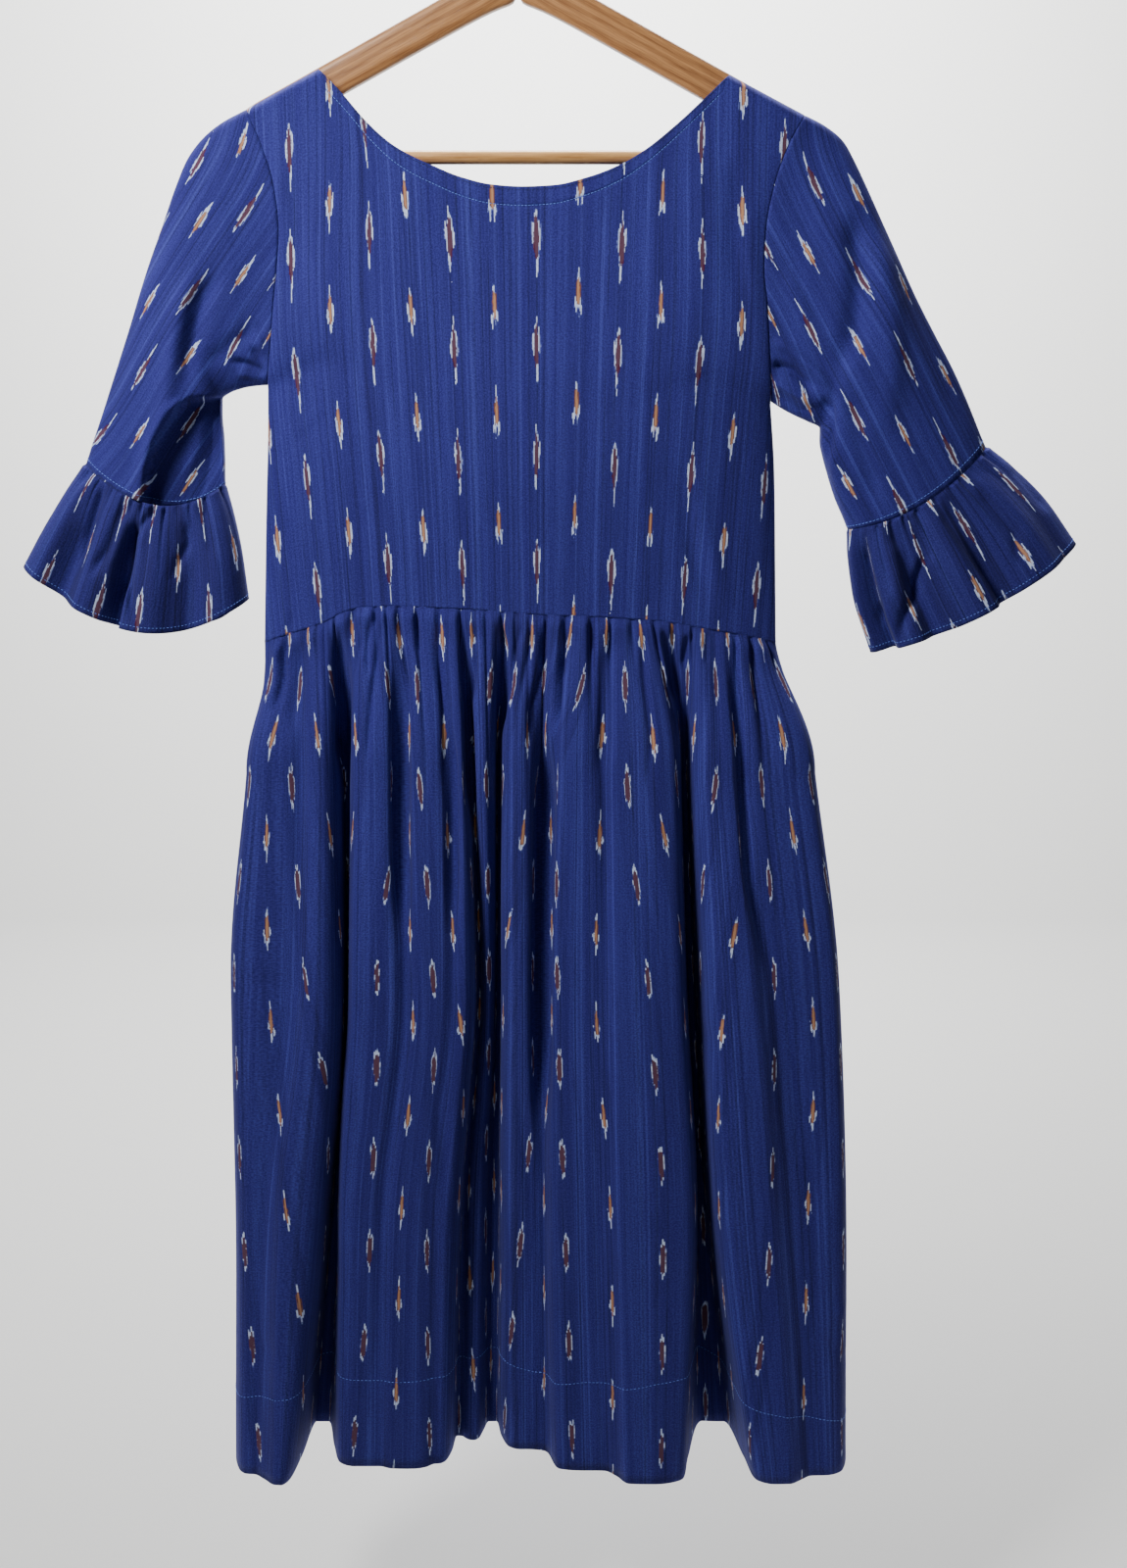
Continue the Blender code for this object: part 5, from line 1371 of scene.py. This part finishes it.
# %% [markdown]
# ## Stitches
#
# Topstitching is a row of short threads that dip into the cloth at each end. Each stitch
# here is a thin six-sided bead, laid along a line of the panel's own grid and lifted a
# little off it, so it follows every fold. A dashed line in the material would be lighter, but
# it would have no thickness. The thread is a lighter blue than the cloth.

# %% Stitches
STITCH_LENGTH = 2.1
STITCH_STEP = 3.0
STITCH_RADIUS = 0.27
STITCH_LIFT = 0.16
STITCH_SIDES = 6
THREAD_TWIST = 0.5
NECK_EDGE_DROP = 2.4
NECK_STITCH_STEP = 2.7
HEM_STITCH_STEP = 3.3
BACK_HEM_STITCH_Z = -1206.0


def thread_material(name, colour):
    material, tree, shader = new_material(name, 0.6)
    x, _, z = place_on_object(tree)
    twist = noise(x / THREAD_TWIST, z / THREAD_TWIST)
    light = tuple(min(1.0, part * 1.5) for part in colour)
    finish_surface(tree, shader, twist.between(0.3, 0.7).mixed(colour, light), twist, 0.1 * MM)
    return material


def stitch_row(name, route, facings, material, step=STITCH_STEP, length=STITCH_LENGTH):
    """A row of stitches along a route of points on the cloth, in mm."""
    run = lengths_along(route)
    starts = np.arange(0.4 * step, run[-1] - length, step)
    stations = starts[:, None] + length * np.array([0.0, 0.18, 0.82, 1.0])
    size = STITCH_RADIUS * np.array([0.25, 1.0, 1.0, 0.25])
    centre = np.stack([np.interp(stations, run, route[:, i]) for i in range(3)], axis=-1)
    out = np.stack([np.interp(stations, run, facings[:, i]) for i in range(3)], axis=-1)
    out /= np.linalg.norm(out, axis=-1, keepdims=True)
    centre += out * STITCH_LIFT * np.array([-0.5, 1.0, 1.0, -0.5])[:, None]
    ahead = centre[:, -1:] - centre[:, :1]
    ahead /= np.linalg.norm(ahead, axis=-1, keepdims=True)
    across = np.cross(out, ahead)
    angles = math.tau * np.arange(STITCH_SIDES) / STITCH_SIDES
    ring = (across[:, :, None] * np.cos(angles)[:, None] + out[:, :, None] * np.sin(angles)[:, None])
    points = centre[:, :, None] + ring * size[:, None, None]
    first = (np.arange(len(starts)) * 4 * STITCH_SIDES)[:, None, None]
    first = first + (np.arange(3) * STITCH_SIDES)[None, :, None]
    corner = np.arange(STITCH_SIDES)[None, None]
    after = (corner + 1) % STITCH_SIDES
    quads = np.stack([first + corner, first + after, first + STITCH_SIDES + after,
                      first + STITCH_SIDES + corner], axis=-1).reshape(-1, 4)
    mesh = bpy.data.meshes.new(name)
    mesh.from_pydata((points.reshape(-1, 3) * MM).tolist(), [], quads.tolist())
    mesh.shade_smooth()
    mesh.materials.append(material)
    piece = bpy.data.objects.new(name, mesh)
    bpy.context.scene.collection.objects.link(piece)
    return piece

# %% Routes on the cloth


def grid_line(points, flip, rows, columns):
    """Route through a grid at fractional rows and columns, with the way it faces there."""
    out = facing(points) * (-1.0 if flip else 1.0)
    low = np.minimum(np.floor(rows).astype(int), points.shape[0] - 2)
    left = np.minimum(np.floor(columns).astype(int), points.shape[1] - 2)
    down, along = (rows - low)[:, None], (columns - left)[:, None]
    both = []
    for grid in (points, out):
        upper = grid[low, left] * (1 - along) + grid[low, left + 1] * along
        lower = grid[low + 1, left] * (1 - along) + grid[low + 1, left + 1] * along
        both.append(upper * (1 - down) + lower * down)
    return both


def row_at_drop(points, drop):
    """Fractional row of each column at a length down from its first row."""
    run = lengths_down(points)
    return np.array([np.interp(drop, run[:, i], np.arange(len(points))) for i in range(points.shape[1])])


def row_at_height(points, z):
    """Fractional row of each column at a height, in a panel that goes down."""
    heights = np.broadcast_to(z, points.shape[1])
    return np.array([np.interp(-heights[i], -points[:, i, 2], np.arange(len(points)))
                     for i in range(points.shape[1])])

# %% Stitches at the neck and the skirt's hem
THREAD = thread_material("blue_thread", linear(92, 120, 205))
DARK_THREAD = thread_material("navy_thread", linear(22, 30, 84))
stitches = []

for label, points, back in (("front", front_points, False), ("back", back_points, True)):
    share = 0.5 * (1.0 - np.cos(math.pi * np.linspace(0.0, 1.0, points.shape[1])))
    used = np.flatnonzero((share > SHOULDER_SHARE + 0.004) & (share < 1.0 - SHOULDER_SHARE - 0.004))
    for drop, material, kind in ((NECK_STITCH_DROP, THREAD, "topstitch"),
                                 (NECK_EDGE_DROP, DARK_THREAD, "edge")):
        rows = row_at_drop(points, drop)[used]
        route, out = grid_line(points, back, rows, used.astype(float))
        stitches.append(stitch_row(f"stitch_neck_{label}_{kind}", route, out, material, NECK_STITCH_STEP))

HEM_STITCH_FRONT = ((-250, -1214), (-203, -1206), (-186, -1203), (-158, -1199), (-100, -1200), (-60, -1198),
                    (-20, -1195), (14, -1202), (80, -1198), (136, -1190), (190, -1214), (215, -1220),
                    (244, -1228), (280, -1237))
hem_z = curve(*zip(*HEM_STITCH_FRONT), skirt_points[-6, :, 0])
for label, points, back, z in (("front", skirt_points, False, hem_z),
                               ("back", skirt_back_points, True, BACK_HEM_STITCH_Z)):
    route, out = grid_line(points, back, row_at_height(points, z), np.arange(points.shape[1], dtype=float))
    stitches.append(stitch_row(f"stitch_hem_{label}", route[3:-3], out[3:-3], THREAD, HEM_STITCH_STEP))
print("stitch rows so far:", [row.name for row in stitches])

# %% Stitches at the cuffs


def ring_line(points, side, row):
    """Closed route round a sleeve or ruffle at a fractional row."""
    out = facing(points, closed=True) * (-1.0 if side < 0 else 1.0)
    low = int(row)
    part = row - low
    both = [grid[low] * (1 - part) + grid[min(low + 1, len(points) - 1)] * part for grid in (points, out)]
    return [np.concatenate([line, line[:1]]) for line in both]


for label, side, rings, fall in (("left", -1.0, left_rings, left_fall),
                                 ("right", 1.0, right_rings, right_fall)):
    route, out = ring_line(rings, side, len(rings) - 2.1)
    stitches.append(stitch_row(f"stitch_cuff_{label}", route, out, THREAD, 2.9))
    route, out = ring_line(fall, side, len(fall) - 2.6)
    stitches.append(stitch_row(f"stitch_ruffle_hem_{label}", route, out, THREAD, 3.0, 1.7))
print("stitch rows:", len(stitches), "triangles:", sum(2 * len(row.data.polygons) for row in stitches))

# %% [markdown]
# ## Hanger
#
# The hanger is two shaped wooden arms, a turned bar and a wire hook. Each arm starts as a
# square with its corners rounded over, and is drawn out station by station, turned and
# thinned as it goes, the way a spokeshave leaves it: flat faces and soft edges. A bent box
# would do for the outline, but its thickness could not change on the way.

# %% Wood
WOOD_DARK = linear(122, 76, 42)
WOOD_LIGHT = linear(200, 146, 94)
BAR_DARK = linear(176, 122, 66)
BAR_LIGHT = linear(236, 184, 118)
ARM_LEAN = 27.8
ARM_SLOPE = 0.527


def wood_material(name, dark, light, slant):
    """Varnished wood. The grain runs along a line that slants down to each side."""
    material, tree, shader = new_material(name, 0.36)
    shader.inputs["Coat Weight"].default_value = 0.35
    shader.inputs["Coat Roughness"].default_value = 0.22
    x, y, z = place_on_object(tree)
    across = z + x.size() * slant
    along = x.size() - z * slant
    wander = noise(along / 70.0, across / 18.0, 2.0) * 9.0
    rings = ((across * 1.1 + y * 0.7 + wander) * 0.75).maths("SINE") * 0.5 + 0.5
    fibre = noise(along / 26.0, across / 0.7, 4.0, y / 0.9)
    pore = noise(along / 9.0, across / 0.35, 2.0, y / 0.5).between(0.62, 0.72)
    tone = rings * 0.40 + fibre.between(0.25, 0.75) * 0.60
    colour = tone.mixed(dark, light)
    colour = (pore * 0.45).mixed(colour, tuple(part * 0.45 for part in dark))
    finish_surface(tree, shader, colour, fibre * 0.5 - pore * 0.5, 0.12 * MM, 0.5)
    return material


ARM_WOOD = wood_material("hanger_wood_varnished", WOOD_DARK, WOOD_LIGHT, ARM_SLOPE)
BAR_WOOD = wood_material("bar_wood_turned", BAR_DARK, BAR_LIGHT, 0.0)
print("wood nodes:", len(ARM_WOOD.node_tree.nodes))

# %% Arms
# Along the arm: x, height of the middle, half height, half thickness, lean in degrees.
ARM_STATIONS = (
    (0.3, -87.5, 15.5, 6.0, 0.0), (8.0, -89.5, 16.0, 6.0, 6.0), (18.0, -94.0, 14.6, 6.0, 22.0),
    (30.0, -100.6, 12.8, 6.0, 27.8), (60.0, -116.4, 12.5, 5.9, 27.8), (110.0, -142.6, 12.5, 5.9, 27.8),
    (150.0, -163.8, 12.5, 5.9, 27.9), (185.0, -182.2, 12.6, 5.9, 28.0), (200.0, -190.6, 13.2, 5.8, 30.0),
    (208.5, -197.5, 13.0, 5.6, 42.0), (214.5, -205.5, 10.5, 5.2, 62.0), (217.5, -213.5, 7.0, 4.3, 80.0),
    (218.0, -219.0, 3.6, 3.0, 88.0),
)
CORNER_SHARE = 0.55


def select_only(piece):
    bpy.ops.object.select_all(action="DESELECT")
    piece.select_set(True)
    bpy.context.view_layer.objects.active = piece


def outward_and_done():
    """Turn all faces outwards and leave edit mode."""
    bpy.ops.mesh.select_all(action="SELECT")
    bpy.ops.mesh.normals_make_consistent(inside=False)
    bpy.ops.object.mode_set(mode="OBJECT")


def make_arm(name, side):
    """One arm, drawn out from a rounded square through its stations."""
    x, z, half_high, half_thick, lean = ARM_STATIONS[0]
    bpy.ops.mesh.primitive_plane_add(size=2.0, location=(side * x * MM, 0.0, z * MM),
                                     rotation=(0.0, side * math.pi / 2, 0.0))
    arm = bpy.context.object
    arm.name = name
    bpy.ops.object.transform_apply(location=True, rotation=True, scale=True)
    bpy.ops.object.mode_set(mode="EDIT")
    bpy.ops.mesh.select_all(action="SELECT")
    bpy.ops.mesh.bevel(offset=CORNER_SHARE, segments=5, affect="VERTICES")
    bpy.ops.mesh.select_all(action="SELECT")
    bpy.ops.transform.resize(value=(1.0, half_thick * MM, half_high * MM),
                             center_override=(side * x * MM, 0.0, z * MM))
    for index in range(1, len(ARM_STATIONS)):
        next_x, next_z, next_high, next_thick, next_lean = ARM_STATIONS[index]
        move = (side * (next_x - x) * MM, 0.0, (next_z - z) * MM)
        bpy.ops.mesh.extrude_region_move(TRANSFORM_OT_translate={"value": move})
        centre = (side * next_x * MM, 0.0, next_z * MM)
        bpy.ops.transform.rotate(value=math.radians(lean) * side, orient_axis="Y", center_override=centre)
        bpy.ops.transform.resize(value=(1.0, next_thick / half_thick, next_high / half_high),
                                 center_override=centre)
        bpy.ops.transform.rotate(value=-math.radians(next_lean) * side, orient_axis="Y",
                                 center_override=centre)
        x, z, half_high, half_thick, lean = ARM_STATIONS[index]
    outward_and_done()
    select_only(arm)
    subdivide = arm.modifiers.new("smooth", "SUBSURF")
    subdivide.levels = subdivide.render_levels = 1
    bpy.ops.object.modifier_apply(modifier="smooth")
    bpy.ops.object.shade_smooth_by_angle(angle=math.radians(45))
    arm.data.materials.append(ARM_WOOD)
    return arm


arm_left = make_arm("hanger_arm_left_wood", -1.0)
arm_right = make_arm("hanger_arm_right_wood", 1.0)
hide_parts("hanger_arm_left")
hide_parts("hanger_arm_right")
high = [(v.co.z + ARM_SLOPE * v.co.x) / MM for v in arm_right.data.vertices if 0.055 < v.co.x < 0.115]
print("arm height across the grain, mm:",
      round((max(high) - min(high)) * math.cos(math.radians(ARM_LEAN)), 1))

# %% [markdown]
# The bar is a dowel with slightly broken edges. The hook is one wire: a circle pulled
# straight up out of the wood, then spun round two centres, first out to one side and then
# over the rail. A curve with a bevel would be quicker, but the spin keeps the wire exactly
# round on its two centres. Its tip is rounded by a small bevel.

# %% Bar
BAR_Z = -214.7
BAR_RADIUS = 5.2
BAR_HALF_LENGTH = 205.0
BAR_EDGE = 0.6

bpy.ops.mesh.primitive_cylinder_add(vertices=64, radius=BAR_RADIUS * MM, depth=2 * BAR_HALF_LENGTH * MM,
                                    location=(0.0, 0.0, BAR_Z * MM), rotation=(0.0, math.pi / 2, 0.0))
bar = bpy.context.object
bar.name = "hanger_bar_wood"
bpy.ops.object.transform_apply(location=True, rotation=True, scale=True)
edge = bar.modifiers.new("broken edge", "BEVEL")
edge.width = BAR_EDGE * MM
edge.segments = 3
edge.limit_method = "ANGLE"
bpy.ops.object.modifier_apply(modifier="broken edge")
bpy.ops.object.shade_smooth_by_angle(angle=math.radians(40))
bar.data.materials.append(BAR_WOOD)
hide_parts("hanger_bar")
print("bar, mm:", [round(size / MM, 1) for size in bar.dimensions])

# %% Hook
HOOK_ROD = 3.5
HOOK_CENTRE_Z = -20.0
HOOK_RADIUS = 20.0 + HOOK_ROD / 2
HOOK_LEAVES_AT = math.radians(50)
HOOK_TIP_AT = math.radians(205)
HOOK_FOOT_Z = -69.7

leave_x = HOOK_RADIUS * math.cos(HOOK_LEAVES_AT)
swing = leave_x / (1.0 - math.cos(HOOK_LEAVES_AT))
bend_z = HOOK_CENTRE_Z - HOOK_RADIUS * math.sin(HOOK_LEAVES_AT) - swing * math.sin(HOOK_LEAVES_AT)
bpy.ops.mesh.primitive_circle_add(vertices=20, radius=HOOK_ROD / 2 * MM, fill_type="NGON",
                                  location=(0.0, 0.0, HOOK_FOOT_Z * MM))
hook = bpy.context.object
hook.name = "hanger_hook_wire"
bpy.ops.object.transform_apply(location=True, rotation=True, scale=True)
bpy.ops.object.mode_set(mode="EDIT")
bpy.ops.mesh.select_all(action="SELECT")
straight_up = (0.0, 0.0, (bend_z - HOOK_FOOT_Z) * MM)
bpy.ops.mesh.extrude_region_move(TRANSFORM_OT_translate={"value": straight_up})
for steps, angle, x, z in ((10, -HOOK_LEAVES_AT, swing, bend_z),
                           (44, HOOK_TIP_AT + HOOK_LEAVES_AT, 0.0, HOOK_CENTRE_Z)):
    bpy.ops.mesh.spin(steps=steps, angle=angle, center=(x * MM, 0.0, z * MM), axis=(0.0, 1.0, 0.0))
bpy.ops.mesh.bevel(offset=1.2 * MM, segments=3, affect="EDGES")
outward_and_done()
select_only(hook)
bpy.ops.object.shade_smooth_by_angle(angle=math.radians(50))


def plated_steel(name):
    """Plated wire with fine drawing marks and a slight haze."""
    material, tree, shader = new_material(name, 0.24, 1.0)
    x, y, z = place_on_object(tree)
    marks = noise(x / 0.4, z / 3.0, 3.0, y / 0.4)
    haze = noise(x / 7.0, z / 7.0, 2.0, y / 7.0)
    colour = haze.between(0.3, 0.7).mixed(linear(188, 188, 186), linear(214, 214, 212))
    tree.links.new((haze * 0.18 + 0.16).socket, shader.inputs["Roughness"])
    finish_surface(tree, shader, colour, marks, 0.03 * MM, 0.6)
    return material


hook.data.materials.append(plated_steel("hook_plated_steel"))
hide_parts("hanger_hook")
print("hook top, mm:", round(max(v.co.z for v in hook.data.vertices) / MM, 1))

# %% [markdown]
# ## What moves with what, and how the cloth was cut
#
# Nothing here has a joint, so every piece rides on the one body. A table lists the flat size
# that each sheet was cut to, in metres: width, length and the area of the cut outline. The widths
# of the gathered pieces are the lengths of their hems along the folds, printed above.

# %% Bodies and sheets
ARMS = [arm_left.name, arm_right.name]
sheets = {
    "bodice_front_cloth": ((0.43, 0.44), 0.152, "hung", ARMS),
    "bodice_back_cloth": ((0.43, 0.44), 0.152, "hung", ARMS),
    "sleeve_left_cloth": ((0.43, 0.30), 0.067, "hung", ["bodice_front_cloth"]),
    "sleeve_right_cloth": ((0.45, 0.31), 0.075, "hung", ["bodice_front_cloth"]),
    "ruffle_left_cloth": ((0.52, 0.10), 0.052, "gathered", ["sleeve_left_cloth"]),
    "ruffle_right_cloth": ((0.50, 0.11), 0.055, "gathered", ["sleeve_right_cloth"]),
    "skirt_front_cloth": ((0.90, 0.71), 0.639, "gathered", ["bodice_front_cloth"]),
    "skirt_back_cloth": ((0.95, 0.71), 0.674, "gathered", ["bodice_back_cloth"]),
}
for name, (flat, area, held, rests_on) in sheets.items():
    piece = bpy.data.objects[name]
    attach(piece, "root")
for piece in stitches:
    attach(piece, "root")
for piece, slot in ((arm_left, "hanger_wood"), (arm_right, "hanger_wood"), (bar, "bar_wood"),
                    (hook, "hook_steel")):
    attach(piece, "root")

# %% [markdown]
# ## Floor, light and camera
#
# The dress hangs over a plain pale floor, with a plain pale backdrop well behind it. Both are
# one plane: its far edge is extruded straight up.

# %% Floor
FLOOR_Z = -1.50
FLOOR_SIZE = 12.0
BACKDROP_Y = 2.6
BACKDROP_HEIGHT = 4.5
bpy.ops.mesh.primitive_plane_add(size=FLOOR_SIZE, location=(0.0, BACKDROP_Y - FLOOR_SIZE / 2, FLOOR_Z))
floor = bpy.context.object
floor.name = "floor"
bpy.ops.object.transform_apply(location=True, rotation=True, scale=True)
bpy.ops.object.mode_set(mode="EDIT")
bpy.ops.mesh.select_all(action="DESELECT")
plane = bmesh.from_edit_mesh(floor.data)
for line in plane.edges:
    line.select_set(all(vertex.co.y > BACKDROP_Y - 0.1 for vertex in line.verts))
bmesh.update_edit_mesh(floor.data)
bpy.ops.mesh.extrude_region_move(TRANSFORM_OT_translate={"value": (0.0, 0.0, BACKDROP_HEIGHT)})
outward_and_done()
bpy.ops.object.shade_smooth()
floor_material, _, floor_shader = new_material("pale_floor", 0.9)
floor_shader.inputs["Base Color"].default_value = (0.72, 0.72, 0.71, 1.0)
floor.data.materials.append(floor_material)
print("floor and backdrop faces:", len(floor.data.polygons))

# %% [markdown]
# A small soft light stands close to the dress at the front left, above its shoulders, so the
# folds shade to the right and towards the hem. A weak one fills in from the right, and a large
# one is there for the backdrop. One large light for all would leave the folds flat. The room
# itself looks pale to the camera but gives little light, for the same reason.

# %% Light
ROOM_LIGHT = 0.08
ROOM_SEEN = 0.55

world = bpy.data.worlds.new("pale room")
bpy.context.scene.world = world
world.use_nodes = True
background = world.node_tree.nodes["Background"]
background.inputs[0].default_value = (0.80, 0.80, 0.79, 1.0)
rays = world.node_tree.nodes.new("ShaderNodeLightPath")
seen = Value(world.node_tree, rays.outputs["Is Camera Ray"])
world.node_tree.links.new((seen * ROOM_SEEN + ROOM_LIGHT).socket, background.inputs[1])


def soft_light(name, place, size, watts, colour, middle=(0.0, 0.0, -0.6)):
    """A square light panel at a place, turned towards the middle of the dress."""
    lamp = bpy.data.lights.new(name, "AREA")
    lamp.size = size
    lamp.energy = watts
    lamp.color = colour
    panel = bpy.data.objects.new(name, lamp)
    bpy.context.scene.collection.objects.link(panel)
    panel.location = place
    away = np.array(middle) - np.array(place)
    turn = math.atan2(away[0], -away[1])
    tilt = math.acos(-away[2] / np.linalg.norm(away))
    panel.rotation_euler = (tilt, 0.0, turn + math.pi)
    return panel


key = soft_light("key light", (-0.85, -0.95, 0.42), 0.42, 16.5, (1.0, 0.99, 0.97), (0.0, 0.0, -0.25))
key.data.spread = math.radians(130)
soft_light("fill light", (1.4, -1.9, 0.1), 1.4, 1.5, (0.96, 0.98, 1.0))
soft_light("backdrop light", (0.0, 0.9, 1.6), 1.6, 290.0, (1.0, 1.0, 1.0), (0.0, BACKDROP_Y, -0.4))
print("lights:", [light.name for light in bpy.data.lights])

# %% [markdown]
# The camera stands where the photographer did: at chest height, 1.34 metres in front, tilted
# ten degrees down. Its place was found by laying the hanger, shoulders and hem over the
# photograph's.

# %% Camera
CAMERA_PLACE = (0.0343, -1.34, -0.4657)
CAMERA_DOWN = 10.0

camera_data = bpy.data.cameras.new("camera")
camera_data.lens = 38.25
camera_data.sensor_width = 36.0
camera = bpy.data.objects.new("camera", camera_data)
bpy.context.scene.collection.objects.link(camera)
camera.location = CAMERA_PLACE
camera.rotation_euler = (math.radians(90.0 - CAMERA_DOWN), 0.0, 0.0)
bpy.context.scene.camera = camera
print("camera:", camera_data.lens, "mm")
